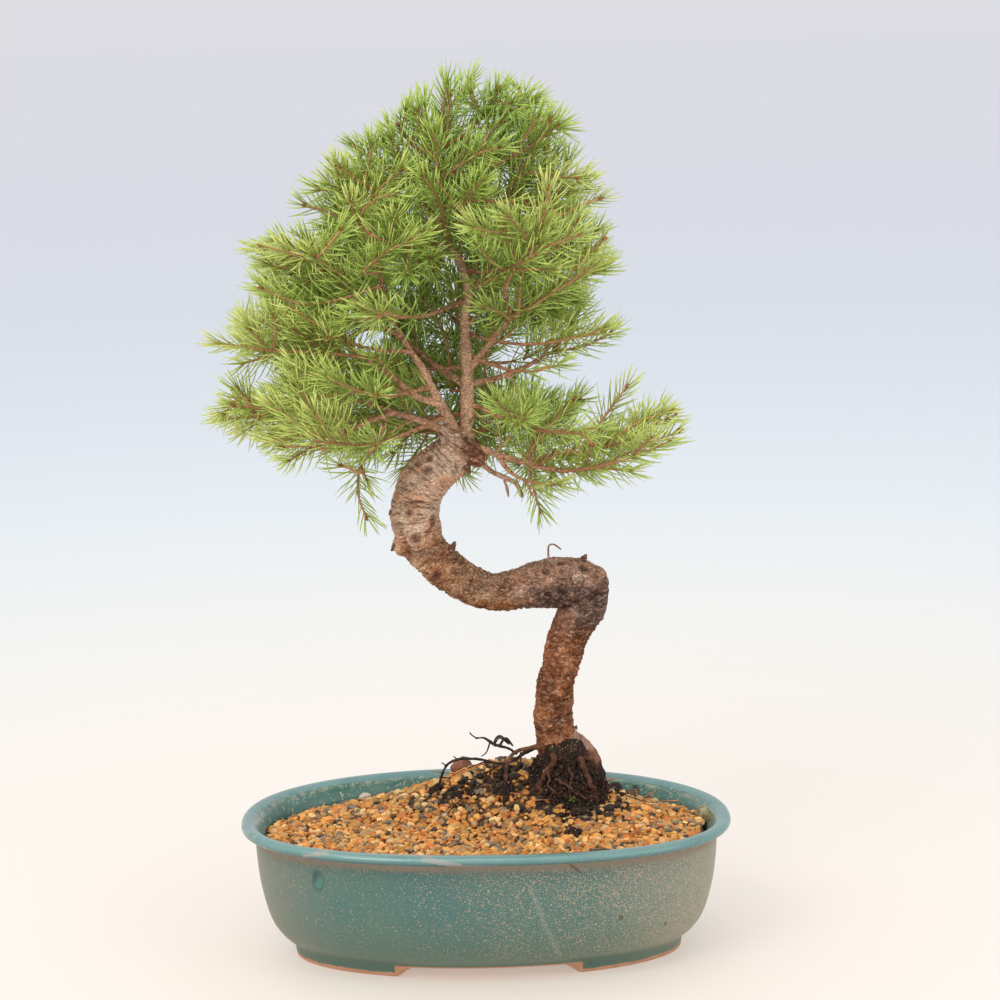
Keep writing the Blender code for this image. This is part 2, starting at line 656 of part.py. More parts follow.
class Room:
    """The tapered rods placed so far, and whether a new one keeps clear of them."""

    def __init__(self):
        self.starts = np.zeros((0, 3))
        self.ends = np.zeros((0, 3))
        self.radii = np.zeros((0, 2))
        self.owners = np.zeros(0, int)

    def add(self, starts, ends, radii, owner):
        self.starts = np.vstack([self.starts, starts])
        self.ends = np.vstack([self.ends, ends])
        self.radii = np.vstack([self.radii, radii])
        self.owners = np.concatenate([self.owners, np.full(len(starts), owner)])

    def add_route(self, route, radii, owner):
        self.add(route[:-1, :3], route[1:, :3], np.stack([radii[:-1], radii[1:]], axis=1), owner)

    def clear(self, points, radii, owner, clearance):
        """Every point is further from each rod of another owner than both radii and the clearance."""
        other = self.owners != owner
        starts, ends, thick = self.starts[other], self.ends[other], self.radii[other]
        if not len(starts):
            return True
        middle = points.mean(axis=0)
        reach = np.linalg.norm(points - middle, axis=1).max() + 22.0
        near = np.linalg.norm(starts - middle, axis=1) < reach
        starts, ends, thick = starts[near], ends[near], thick[near]
        if not len(starts):
            return True
        along = ends - starts
        squared = (along ** 2).sum(axis=1)
        for point, radius in zip(points, radii):
            share = np.clip(((point - starts) * along).sum(axis=1) / squared, 0, 1)
            distance = np.linalg.norm(starts + share[:, None] * along - point, axis=1)
            body = thick[:, 0] + share * (thick[:, 1] - thick[:, 0])
            if (distance < radius + body + clearance).any():
                return False
        return True


def unit(vector):
    return vector / np.linalg.norm(vector)


def turned(points, centre, axis, angle):
    """Points turned about an axis through a centre, by the right-hand rule."""
    axis = unit(axis)
    arm = np.asarray(points, float) - centre
    cosine, sine = math.cos(angle), math.sin(angle)
    parallel = (arm @ axis)[..., None] * axis
    return centre + arm * cosine + np.cross(axis, arm) * sine + parallel * (1 - cosine)


class Shoot:
    """A three-sided core along a route. Each ring is turned by 60 degrees and a little more."""

    def __init__(self, route, number, level=0):
        self.route = route
        self.number = number
        self.level = level
        self.start = None
        share = np.linspace(0, 1, len(route))
        self.radii = SHOOT_RADIUS + (SHOOT_END_RADIUS - SHOOT_RADIUS) * share

    def tangent(self, level):
        a = self.route[max(level - 1, 0)]
        b = self.route[min(level + 1, len(self.route) - 1)]
        return unit(b - a)

    def rods(self):
        """The route with the tip, and the radii along it; a side shoot's begins off its parent's core."""
        tip = self.route[-1] + self.tangent(len(self.route) - 1) * TIP_NEEDLE
        route = np.vstack([self.route, tip])
        if self.level:
            route[0] = route[:2].mean(axis=0)
        return route, np.append(self.radii, 0.0)


class SprayMesh:
    """Points and triangles of one spray: cores grown ring by ring, needles raised from their facets."""

    def __init__(self):
        self.points = []
        self.faces = {}
        self.next_face = 0

    def add_point(self, place):
        self.points.append(np.asarray(place, float))
        return len(self.points) - 1

    def add_face(self, *corners):
        self.faces[self.next_face] = corners
        self.next_face += 1
        return self.next_face - 1

    def first_ring(self, shoot):
        axis = shoot.tangent(0)
        side = unit(np.cross(axis, (0.31, 0.17, 0.93)))
        over = np.cross(axis, side)
        ring = []
        for k in range(3):
            angle = 2 * math.pi * k / 3
            ring.append(self.add_point(shoot.route[0] + shoot.radii[0] * (side * math.cos(angle)
                                                                          + over * math.sin(angle))))
        self.add_face(ring[0], ring[2], ring[1])
        return ring

    def grow(self, shoot):
        """Band after band of six triangles up to the closed tip; returns the facets by level."""
        ring = shoot.start or self.first_ring(shoot)
        centre = np.mean([self.points[i] for i in ring], axis=0)
        facets = []
        for level in range(1, len(shoot.route) - 1):
            axis = shoot.tangent(level)
            place = shoot.route[level]
            fresh = []
            for k in range(3):
                arm = self.points[ring[(k + 2) % 3]] - centre
                arm = -unit(arm - (arm @ axis) * axis)
                arm = turned(arm, np.zeros(3), axis, SHOOT_TWIST)
                fresh.append(self.add_point(place + shoot.radii[level] * arm))
            for k in range(3):
                after = (k + 1) % 3
                facets.append((level, self.add_face(ring[k], ring[after], fresh[k])))
                facets.append((level, self.add_face(fresh[k], ring[after], fresh[after])))
            ring, centre = fresh, place
        tip = self.add_point(shoot.route[-1] + shoot.tangent(len(shoot.route) - 1) * TIP_NEEDLE)
        for k in range(3):
            self.add_face(ring[k], ring[(k + 1) % 3], tip)
        return facets

    def raise_needle(self, face, tip):
        """Pull the middle of a facet out to a point."""
        a, b, c = self.faces.pop(face)
        point = self.add_point(tip)
        self.add_face(a, b, point)
        self.add_face(b, c, point)
        self.add_face(c, a, point)

    def middle(self, face):
        return np.mean([self.points[i] for i in self.faces[face]], axis=0)

    def normal(self, face):
        a, b, c = [self.points[i] for i in self.faces[face]]
        return unit(np.cross(b - a, c - a))


def side_route(core, level, side, length):
    """Route of a side shoot: off the core at an angle, turning up and forwards a little."""
    start = core[level]
    axis = unit(core[min(level + 1, len(core) - 1)] - core[level - 1])
    flat = unit(np.cross(axis, (0, 0, 1.0))) * side
    heading = unit(axis * math.cos(SIDE_SHOOT_ANGLE) + flat * math.sin(SIDE_SHOOT_ANGLE) + SIDE_SHOOT_LIFT)
    end = start + heading * length
    bend = start + heading * length * 0.5 - flat * 1.2
    return smooth_route([start, bend, end + axis * 2.0], SHOOT_STEP)


def place_cores(sprays, room):
    """Bend each spray's route clear of the wood and the cores before it, then add its side shoots."""
    draw = random.Random(5)
    placed = []
    number = 100
    for name, route in sprays:
        best = None
        for attempt in range(CORE_TRIES):
            swing = 0.0 if attempt == 0 else math.radians(3 + 0.45 * attempt)
            axis = np.array([draw.gauss(0, 1) for _ in range(3)])
            core = turned(route, route[0], axis, swing) if swing else route
            third = len(core) // 3
            core = smooth_route(core[[0, third, 2 * len(core) // 3, -1]], SHOOT_STEP)
            core[0] += unit(core[1] - core[0]) * CORE_GAP
            if room.clear(core[2:], np.full(len(core) - 2, SHOOT_RADIUS), number, CORE_CLEARANCE):
                best = core
                break
        if best is None:
            print("no room for", name)
            continue
        main = Shoot(best, number)
        room.add_route(*main.rods(), number)
        shoots = [main]
        side = 1 if draw.random() < 0.5 else -1
        length = (len(best) - 1) * SHOOT_STEP
        level = int(round(SIDE_SHOOT_FIRST_SHARE * length / SHOOT_STEP))
        while (len(best) - 1 - level) * SHOOT_STEP > SIDE_SHOOT_LEAST_REST and level > 1:
            number += 1
            reach = min(SIDE_SHOOT_LENGTH, 0.62 * (len(best) - 1 - level) * SHOOT_STEP + 10)
            for _ in range(SIDE_SHOOT_TRIES):
                branch = side_route(best, level, side, reach * draw.uniform(0.85, 1.1))
                parent_axis = unit(best[level] - best[level - 1])
                branch = turned(branch, branch[0], parent_axis, draw.uniform(-0.7, 0.7))
                if room.clear(branch[2:], np.full(len(branch) - 2, SHOOT_RADIUS), number, CORE_CLEARANCE):
                    shoots.append(Shoot(branch, number, level))
                    room.add_route(*shoots[-1].rods(), number)
                    break
            side = -side
            level += int(round(SIDE_SHOOT_EVERY / SHOOT_STEP))
        placed.append((name, shoots))
        number += 1
    return placed


def needle_tip(mesh, face, shoot, level, draw, spread):
    """Where a needle's point lies: out from the facet and forwards along the shoot, a little up."""
    axis = shoot.tangent(level)
    out = mesh.normal(face)
    out = unit(out - (out @ axis) * axis)
    share = level / len(shoot.route)
    lean = NEEDLE_LEAN - NEEDLE_LEAN_LESS_AT_TIP * share ** 2 + draw.uniform(-spread, spread)
    swing = draw.uniform(-spread, spread)
    out = turned(out, np.zeros(3), axis, swing)
    heading = unit(axis * math.cos(lean) + out * math.sin(lean) + NEEDLE_LIFT)
    length = NEEDLE_LENGTH * (1 - 0.28 * share ** 3) * draw.uniform(0.88, 1.08)
    return mesh.middle(face) + heading * length


def make_spray(name, shoots, room, parts, material):
    """One node: the shoots, and a needle on every second facet that has room; returns how many."""
    draw = random.Random(len(name) * 31 + int(shoots[0].number))
    mesh = SprayMesh()
    main = shoots[0]
    facets = [(main, level, face) for level, face in mesh.grow(main)]
    for branch in shoots[1:]:
        heading = unit(branch.route[1] - branch.route[0])
        near = [row for row in facets if row[0] is main and row[1] in (branch.level, branch.level + 1)]
        near = [row for row in near if row[2] in mesh.faces]
        chosen = max(near, key=lambda row: mesh.normal(row[2]) @ heading)
        branch.start = list(mesh.faces.pop(chosen[2]))
        facets.remove(chosen)
        branch.route[0] = np.mean([mesh.points[i] for i in branch.start], axis=0)
        facets += [(branch, level, face) for level, face in mesh.grow(branch)]
    count = 0
    for place, (shoot, level, face) in enumerate(facets):
        if level < 2 or face not in mesh.faces or place % 2:
            continue
        for attempt in range(NEEDLE_TRIES):
            tip = needle_tip(mesh, face, shoot, level, draw, math.radians(4 + 3 * attempt))
            foot = mesh.middle(face)
            share = np.linspace(0.12, 1, 9)
            points = foot + (tip - foot) * share[:, None]
            radii = NEEDLE_ROOT_RADIUS * (1 - share)
            if room.clear(points, radii, shoot.number, NEEDLE_CLEARANCE):
                mesh.raise_needle(face, tip)
                room.add(foot[None], tip[None], np.array([[NEEDLE_ROOT_RADIUS, 0.0]]), shoot.number)
                count += 1
                break
    mesh_object(name, np.array(mesh.points), list(mesh.faces.values()), material, parts)
    return count


def make_sprays(sprays, segments, parts):
    needle_green = make_material("needles", (0.20, 0.34, 0.07), 0.6)
    room = Room()
    for owner, route in enumerate(segments):
        room.add_route(route, route[:, 3], owner)
    total = 0
    for number, (_, shoots) in enumerate(place_cores(sprays, room), 1):
        total += make_spray(f"spray_{number:02d}", shoots, room, parts, needle_green)
    print("needles", total)


def main():
    clear_scene()
    parts = make_collection(OBJECT_NAME)
    cutters = make_collection("cutters")
    make_pot(parts, cutters)
    make_drain_mesh("drain_mesh_left", -DRAIN_X, parts)
    make_drain_mesh("drain_mesh_right", DRAIN_X, parts)
    gravel = make_gravel(parts)
    ball = make_root_ball(parts)
    wood, cutter_pieces, segments, sprays = make_wood(parts, cutters)
    points, faces = loft(ball_rings(GAP))
    ball_cutter = mesh_object("ball_cutter", points, faces, None, cutters)
    for item in [ball_cutter] + cutter_pieces:
        hide_cutter(item)
        boolean(gravel, "DIFFERENCE", item, "MANIFOLD")
    for item in cutter_pieces:
        boolean(ball, "DIFFERENCE", item, "MANIFOLD")
    for item in (gravel, ball):
        freeze(item)
        keep_largest(item)
    make_sprays(sprays, segments, parts)
    for item in parts.objects:
        item.data.calc_loop_triangles()
    counts = {item.name: len(item.data.loop_triangles) for item in parts.objects}
    print("triangles", sum(counts.values()), {k: v for k, v in counts.items() if not k.startswith("spray")})


main()
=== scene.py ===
# %% [markdown]
# # A white spruce bonsai in an oval glazed pot
# This lesson builds the finished look of a small potted tree around a plain model.
# The plain model gives every place and size. Each surface here is a formula worked out with numpy on whole
# arrays, turned into a mesh in one step, and given a material made of nodes.

# %% The imported model
import math
import random

import bmesh
import bpy
import numpy as np
from mathutils import Matrix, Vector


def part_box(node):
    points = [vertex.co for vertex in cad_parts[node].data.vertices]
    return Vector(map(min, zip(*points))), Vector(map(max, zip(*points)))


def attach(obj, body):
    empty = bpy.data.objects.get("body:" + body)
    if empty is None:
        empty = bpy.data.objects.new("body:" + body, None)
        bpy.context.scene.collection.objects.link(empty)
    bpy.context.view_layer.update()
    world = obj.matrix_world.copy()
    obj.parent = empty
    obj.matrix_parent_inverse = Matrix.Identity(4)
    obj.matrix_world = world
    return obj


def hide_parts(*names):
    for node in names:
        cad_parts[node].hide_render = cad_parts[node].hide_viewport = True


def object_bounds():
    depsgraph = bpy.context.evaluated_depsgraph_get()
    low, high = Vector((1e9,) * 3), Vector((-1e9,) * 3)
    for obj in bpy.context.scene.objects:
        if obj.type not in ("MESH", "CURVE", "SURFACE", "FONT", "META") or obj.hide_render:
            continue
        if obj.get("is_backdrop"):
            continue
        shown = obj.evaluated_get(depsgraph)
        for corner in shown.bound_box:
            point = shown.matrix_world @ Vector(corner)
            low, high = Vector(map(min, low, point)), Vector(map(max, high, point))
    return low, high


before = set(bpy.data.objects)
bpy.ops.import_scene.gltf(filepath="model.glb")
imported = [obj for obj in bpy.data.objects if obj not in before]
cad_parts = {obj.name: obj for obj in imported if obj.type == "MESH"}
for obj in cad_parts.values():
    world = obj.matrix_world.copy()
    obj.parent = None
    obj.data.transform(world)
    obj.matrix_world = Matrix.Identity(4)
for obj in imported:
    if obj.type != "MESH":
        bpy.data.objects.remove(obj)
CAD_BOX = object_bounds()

print("box of the plain model", CAD_BOX)

# %% [markdown]
# ## Millimetres and the middle of the pot
# All tables are in millimetres measured from the middle of the pot, because a maker measures a pot that way.
# The scene is in metres and its origin lies under the middle of the whole tree's box, five millimetres to the
# left of the pot's middle. One function goes from the first to the second.

# %% From millimetres to the scene
MM = 0.001
BOX_MIDDLE = np.array([-5.0, 0.0, 0.0])


def to_scene(points):
    """Millimetres from the middle of the pot to metres in the scene: take the box's middle away, then scale."""
    return (np.asarray(points, float)[..., :3] - BOX_MIDDLE) * MM


def unit(vectors):
    """Vectors over their own lengths, along the last axis."""
    return vectors / np.linalg.norm(vectors, axis=-1, keepdims=True)


def pose(x, y, z, place):
    """The matrix of an object from its three directions and its place, a column each."""
    matrix = np.eye(4)
    matrix[:3] = np.column_stack([x, y, z, place])
    return Matrix(matrix.tolist())


pot_low, pot_high = (np.array(corner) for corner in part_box("pot"))
print("middle of the pot in metres", (pot_low + pot_high) / 2, "expected", to_scene((0, 0, 0)))

# %% [markdown]
# ## The camera
# The picture was taken from about one and a half metres with a long lens, from the height of the tree's top. The
# view is tilted ten degrees down and rolled by one. A camera in Blender looks along its own negative Z with Y up,
# so its matrix is built from the three directions of the view: right, up and back.

# %% The camera
EYE = np.array([11.8, -1414.0, 512.0])
PITCH = 0.1804
ROLL = -0.0226
FOCAL_PIXELS = 2650.0
IMAGE_PIXELS = 1000.0
SENSOR_WIDTH = 36.0

ahead = np.array([0.0, math.cos(PITCH), -math.sin(PITCH)])
level_up = np.array([0.0, math.sin(PITCH), math.cos(PITCH)])
level_right = np.array([1.0, 0.0, 0.0])
camera_right = math.cos(ROLL) * level_right + math.sin(ROLL) * level_up
camera_up = -math.sin(ROLL) * level_right + math.cos(ROLL) * level_up

lens = bpy.data.cameras.new("camera")
lens.sensor_width = SENSOR_WIDTH
lens.lens = FOCAL_PIXELS / IMAGE_PIXELS * SENSOR_WIDTH
lens.clip_end = 200.0
camera = bpy.data.objects.new("camera", lens)
camera.matrix_world = pose(camera_right, camera_up, -ahead, to_scene(EYE))
bpy.context.scene.collection.objects.link(camera)
bpy.context.scene.camera = camera
print("camera at", to_scene(EYE), "lens", round(lens.lens, 1), "mm")

# %% [markdown]
# ## Shader maths as plain expressions
# A material is a graph of nodes. Written node by node it is long and hard to read, so a value in the graph is
# wrapped in a small class whose operators add the Math nodes. Then 1 - mask * 0.5 reads like arithmetic.

# %% A value and a finish
class Value:
    """One socket of a material. Arithmetic with it adds a Math node and gives the node's result."""

    def __init__(self, finish, socket):
        self.finish, self.socket = finish, socket

    def math(self, operation, first, second):
        """The result of one Math node."""
        node = self.finish.node("Math", {"operation": operation}, {0: first, 1: second})
        return Value(self.finish, node.outputs[0])

    def __add__(self, other):
        return self.math("ADD", self, other)

    def __sub__(self, other):
        return self.math("SUBTRACT", self, other)

    def __rsub__(self, other):
        return self.math("SUBTRACT", other, self)

    def __mul__(self, other):
        return self.math("MULTIPLY", self, other)

    __radd__, __rmul__ = __add__, __mul__

    def __pow__(self, other):
        return self.math("POWER", self, other)

    def greatest(self, other):
        """The greater of the two."""
        return self.math("MAXIMUM", self, other)

    def wave(self, radians):
        """Zero to one and back, a sine of the value times so many radians."""
        node = self.finish.node("Math", {"operation": "SINE"}, {0: self * radians})
        return Value(self.finish, node.outputs[0]) * 0.5 + 0.5


class Finish:
    """A material with its Principled shader, and short ways to add the nodes that this tree needs."""

    def __init__(self, name, **constants):
        self.material = bpy.data.materials.new(name)
        self.material.use_nodes = True
        self.tree = self.material.node_tree
        self.shader = self.tree.nodes["Principled BSDF"]
        for socket, value in constants.items():
            self.shader.inputs[socket.replace("_", " ")].default_value = value

    def connect(self, socket, value):
        """Link a value or a node's socket, or set a number or a colour."""
        if isinstance(value, Value):
            self.tree.links.new(value.socket, socket)
        elif isinstance(value, bpy.types.NodeSocket):
            self.tree.links.new(value, socket)
        elif isinstance(value, (tuple, list)) and len(value) == 3 and len(socket.default_value) == 4:
            socket.default_value = (*value, 1.0)
        else:
            socket.default_value = value

    def node(self, kind, settings=None, inputs=None):
        """Any node: its type, its settings first, such as an operation or a ramp's stops, then its sockets."""
        node = self.tree.nodes.new("ShaderNode" + kind)
        for name, value in (settings or {}).items():
            if name == "stops":
                ramp = node.color_ramp
                while len(ramp.elements) < len(value):
                    ramp.elements.new(0.5)
                for element, (place, colour) in zip(ramp.elements, value):
                    element.position = place
                    element.color = (*colour, 1.0)
            else:
                setattr(node, name, value)
        for name, value in (inputs or {}).items():
            self.connect(node.inputs[name], value)
        return node

    def place(self, scale=(1.0, 1.0, 1.0)):
        """The point on the object in metres, stretched by a Mapping node."""
        where = self.node("TexCoord").outputs["Object"]
        return self.node("Mapping", None, {"Vector": where, "Scale": scale}).outputs[0]

    def axis(self, letter):
        """One coordinate of the point in metres."""
        parts = self.node("SeparateXYZ", None, {0: self.node("TexCoord").outputs["Object"]})
        return Value(self, parts.outputs[letter])

    def noise(self, scale, detail=4.0, roughness=0.55, distortion=0.0):
        """Cloudy noise round 0.5 with so many lumps to the metre."""
        inputs = {"Scale": scale, "Detail": detail, "Roughness": roughness, "Distortion": distortion}
        return Value(self, self.node("TexNoise", None, {"Vector": self.place(), **inputs}).outputs[0])

    def cells(self, scale, where, feature="DISTANCE_TO_EDGE", output="Distance"):
        """Cell noise with so many cells to the metre: how far the next edge is, or a colour for each cell."""
        node = self.node("TexVoronoi", {"feature": feature}, {"Scale": scale, "Vector": where})
        return Value(self, node.outputs[output])

    def step(self, value, low, high, before=0.0, after=1.0):
        """Zero below low, one above high and a smooth rise between; the two ends may be given other values."""
        inputs = {"Value": value, "From Min": low, "From Max": high, "To Min": before, "To Max": after}
        return Value(self, self.node("MapRange", {"interpolation_type": "SMOOTHSTEP"}, inputs).outputs[0])

    def mix(self, amount, first, second, way="MIX"):
        """The first colour where the amount is 0, the second where it is 1."""
        node = self.node("Mix", {"data_type": "RGBA", "blend_type": way},
                         {0: amount, 6: first, 7: second})
        return Value(self, node.outputs[2])

    def painted(self, name):
        """A colour stored on the mesh's points."""
        return Value(self, self.node("Attribute", {"attribute_name": name}).outputs["Color"])

    def relief(self, height, distance, strength=1.0):
        """Bump from a height between 0 and 1 that stands for the distance in metres."""
        inputs = {"Height": height, "Distance": distance, "Strength": strength}
        return Value(self, self.node("Bump", None, inputs).outputs[0])

    def wear(self, **inputs):
        """Connect results to the shader's sockets."""
        for name, value in inputs.items():
            self.connect(self.shader.inputs[name.replace("_", " ")], value)
        return self.material


def tint(red, green, blue):
    """A colour given as it looks on a screen, 0 to 255, in the linear numbers that shaders use."""
    share = np.array([red, green, blue]) / 255.0
    return tuple(float(v) for v in np.where(share <= 0.04045, share / 12.92, ((share + 0.055) / 1.055) ** 2.4))


print("a screen's mid grey is", round(tint(128, 128, 128)[0], 3), "in linear light")

# %% [markdown]
# ## Floor and light
# The tree stands on a pale level floor in even studio light. The floor is one large sheet whose colour goes from
# warm white near the pot to a cool pale grey far away, so that it meets the background without a line. A sun with
# a wide disc, two large area lights and a bright surrounding give soft shadows.

# %% Floor, surroundings and lights
FLOOR_GLOW = 0.4
FLOOR_SHARE = (0.57, 0.545, 0.53)
FLOOR_BELOW = 0.0002
STUDIO_COLOUR = (0.94, 0.945, 1.0, 1.0)
STUDIO_POWER = 0.77


def make_floor():
    """Part of the floor's light is its own glow, which keeps the shadows pale as in a white studio."""
    finish = Finish("floor", Roughness=0.7, Emission_Strength=FLOOR_GLOW)
    far = Value(finish, finish.node("VectorMath", {"operation": "LENGTH"}, {0: finish.place()}).outputs["Value"])
    stops = [(0.0, tint(248, 239, 228)), (0.13, tint(247, 242, 234)), (0.22, tint(243, 241, 234)),
             (0.31, tint(236, 240, 238)), (0.41, tint(226, 235, 240)), (0.52, tint(217, 227, 236)),
             (0.63, tint(211, 220, 229)), (0.76, tint(212, 216, 226)), (1.0, tint(213, 215, 222))]
    colour = finish.node("ValToRGB", {"stops": stops}, {0: far * (far + 2.0) ** -1.0}).outputs[0]
    grain = finish.noise(30.0, 2.0)
    matt = finish.mix(1.0, colour, finish.mix(grain * 0.1, FLOOR_SHARE, (0.5, 0.48, 0.46)), "MULTIPLY")
    finish.wear(Base_Color=matt, Emission_Color=colour)
    work = bmesh.new()
    bmesh.ops.create_circle(work, cap_ends=True, radius=60.0, segments=64)
    mesh = bpy.data.meshes.new("floor")
    work.to_mesh(mesh)
    work.free()
    floor = bpy.data.objects.new("floor", mesh)
    mesh.materials.append(finish.material)
    bpy.context.scene.collection.objects.link(floor)
    floor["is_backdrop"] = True
    return floor


def add_light(name, kind, place, target, power, colour, **settings):
    """A lamp shines along its own negative Z, so its Z axis is the direction back from the target."""
    light = bpy.data.lights.new(name, kind)
    light.energy, light.color = power, colour
    for setting, value in settings.items():
        setattr(light, setting, value)
    back = unit(np.subtract(place, target))
    side = unit(np.cross((0.0, 0.0, 1.0), back))
    lamp = bpy.data.objects.new(name, light)
    lamp.matrix_world = pose(side, np.cross(back, side), back, place)
    bpy.context.scene.collection.objects.link(lamp)


floor = make_floor()
floor.location.z = -FLOOR_BELOW
world = bpy.data.worlds.new("studio")
world.use_nodes = True
world.node_tree.nodes["Background"].inputs["Color"].default_value = STUDIO_COLOUR
world.node_tree.nodes["Background"].inputs["Strength"].default_value = STUDIO_POWER
bpy.context.scene.world = world
add_light("sky", "SUN", (-0.25, -0.35, 1.0), (0.0, 0.0, 0.0), 1.15, (1.0, 0.98, 0.95), angle=math.radians(70.0))
add_light("key", "AREA", (-1.0, -1.4, 1.6), (0.0, 0.0, 0.25), 11.0, (1.0, 0.97, 0.92), size=0.9)
add_light("fill", "AREA", (1.5, -1.0, 1.0), (0.0, 0.0, 0.2), 5.0, (0.95, 0.98, 1.0), size=1.2)
bpy.context.scene.view_settings.view_transform = "Standard"
print("floor", round(floor.dimensions.x, 1), "m across, three lights")

# %% [markdown]
# ## Meshes from arrays
# A surface here is a grid: rows along a path or a profile, columns round it. The points of the grid are one
# array, and its faces follow from the two counts. A closed end gets one pole point with a fan of triangles.
# Many such shapes are gathered into one array before the mesh is made.

# %% Gathering shapes and making a piece
class Gather:
    """Points, quads, triangles and painted colours of many shapes, joined into one mesh."""

    def __init__(self):
        self.points, self.quads, self.triangles, self.tones = [], [], [], []
        self.count = 0

    def add(self, points, quads=None, triangles=None, tone=None):
        """Faces count from the shape's own first point. A tone is one colour or a colour for each point."""
        points = np.asarray(points, float).reshape(-1, 3)
        if quads is not None:
            self.quads.append(np.asarray(quads).reshape(-1, 4) + self.count)
        if triangles is not None:
            self.triangles.append(np.asarray(triangles).reshape(-1, 3) + self.count)
        self.points.append(points)
        if tone is not None:
            self.tones.append(np.broadcast_to(np.asarray(tone, float), (len(points), 3)))
        self.count += len(points)

    def arrays(self):
        """Everything gathered so far: points, quads and triangles."""
        points = np.concatenate(self.points)
        quads = np.concatenate(self.quads) if self.quads else np.zeros((0, 4), int)
        triangles = np.concatenate(self.triangles) if self.triangles else np.zeros((0, 3), int)
        return points, quads, triangles


def make_piece(name, gather, material, replaced=(), smooth=True):
    """A mesh object from gathered arrays in millimetres, riding on the object's one body."""
    points, quads, triangles = gather.arrays()
    mesh = bpy.data.meshes.new(name)
    mesh.vertices.add(len(points))
    mesh.vertices.foreach_set("co", to_scene(points).astype(np.float32).ravel())
    corners = np.concatenate([quads.ravel(), triangles.ravel()]).astype(np.int32)
    mesh.loops.add(len(corners))
    mesh.loops.foreach_set("vertex_index", corners)
    mesh.polygons.add(len(quads) + len(triangles))
    starts = np.concatenate([np.arange(len(quads)) * 4, len(quads) * 4 + np.arange(len(triangles)) * 3])
    mesh.polygons.foreach_set("loop_start", starts.astype(np.int32))
    if gather.tones:
        tones = np.ones((len(points), 4), np.float32)
        tones[:, :3] = np.concatenate(gather.tones)
        layer = mesh.attributes.new("tone", "FLOAT_COLOR", "POINT")
        layer.data.foreach_set("color", tones.ravel())
    mesh.polygons.foreach_set("use_smooth", np.full(len(mesh.polygons), smooth))
    mesh.update(calc_edges=True)
    mesh.materials.append(material)
    piece = bpy.data.objects.new(name, mesh)
    bpy.context.scene.collection.objects.link(piece)
    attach(piece, "root")
    if replaced:
        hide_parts(*replaced)
    print(name, len(points), "points,", len(quads) * 2 + len(triangles), "triangles")
    return piece


def closed_grid(grid):
    """Points and faces of rings one after another, columns going round, with a pole at each end."""
    rows, columns = grid.shape[:2]
    index = np.arange(rows * columns).reshape(rows, columns)
    after = np.roll(index, -1, axis=1)
    quads = np.stack([index[:-1], after[:-1], after[1:], index[1:]], axis=-1)
    first, last = rows * columns, rows * columns + 1
    start_fan = np.stack([np.full(columns, first), after[0], index[0]], axis=-1)
    end_fan = np.stack([np.full(columns, last), index[-1], after[-1]], axis=-1)
    points = np.vstack([grid.reshape(-1, 3), grid[0].mean(axis=0), grid[-1].mean(axis=0)])
    return points, quads, np.vstack([start_fan, end_fan])


print("a closed grid of 3 rings of 4 has", len(closed_grid(np.zeros((3, 4, 3)))[0]), "points")

# %% [markdown]
# ## Roughness of nature
# Bark, peat and stones need a roughness that is the same each time. Lattice noise gives every corner of a
# three-dimensional lattice a fixed random number and blends between them. Cell noise scatters one point in each
# cell and measures the distance to the nearest, which gives plates with cracks between.

# %% Lattice noise and cell noise
def scatter(cells, seed):
    """A fixed random number from 0 to 1 for each cell: its whole numbers are multiplied, mixed and cut."""
    mixed = (cells[..., 0] * 73856093) ^ (cells[..., 1] * 19349663) ^ (cells[..., 2] * 83492791)
    mixed = (mixed ^ (seed * 265443576)) & 0xFFFFFFFF
    mixed = ((mixed ^ (mixed >> 15)) * 2246822519) & 0xFFFFFFFF
    mixed = ((mixed ^ (mixed >> 13)) * 3266489917) & 0xFFFFFFFF
    return ((mixed ^ (mixed >> 16)) & 0xFFFFFF) / float(0xFFFFFF)


def lattice_noise(points, cell, seed, octaves=1):
    """Smooth noise from -1 to 1 with lumps of the cell's size; each octave adds half the size at half weight."""
    total = np.zeros(points.shape[:-1])
    weight, whole = 1.0, 0.0
    for octave in range(octaves):
        place = points / (cell * 0.5 ** octave)
        base = np.floor(place).astype(np.int64)
        share = place - base
        share = share * share * (3 - 2 * share)
        value = np.zeros(points.shape[:-1])
        for corner in np.ndindex(2, 2, 2):
            corner = np.array(corner)
            blend = np.prod(np.where(corner, share, 1 - share), axis=-1)
            value += blend * scatter(base + corner, seed + octave)
        total += weight * (2 * value - 1)
        whole += weight
        weight *= 0.5
    return total / whole


def cell_noise(points, cell, seed):
    """Distances to the nearest and the second nearest scattered point, in cells."""
    place = points / cell
    base = np.floor(place).astype(np.int64)
    nearest = np.full(points.shape[:-1], 9.0)
    second = nearest.copy()
    for offset in np.ndindex(3, 3, 3):
        corner = base + np.array(offset) - 1
        jitter = np.stack([scatter(corner, seed + k) for k in (0, 1, 2)], axis=-1)
        distance = np.linalg.norm(corner + jitter - place, axis=-1)
        second = np.minimum(second, np.maximum(nearest, distance))
        nearest = np.minimum(nearest, distance)
    return nearest, second


def rise(value, low, high):
    """Zero below low, one above high, smooth between."""
    share = np.clip((value - low) / (high - low), 0, 1)
    return share * share * (3 - 2 * share)


def blend(amount, first, second):
    """A colour for each point between two colours."""
    amount = np.asarray(amount)[..., None]
    return np.asarray(first) * (1 - amount) + np.asarray(second) * amount


print("noise at the origin", round(float(lattice_noise(np.zeros((1, 3)), 5.0, 1)[0]), 3))

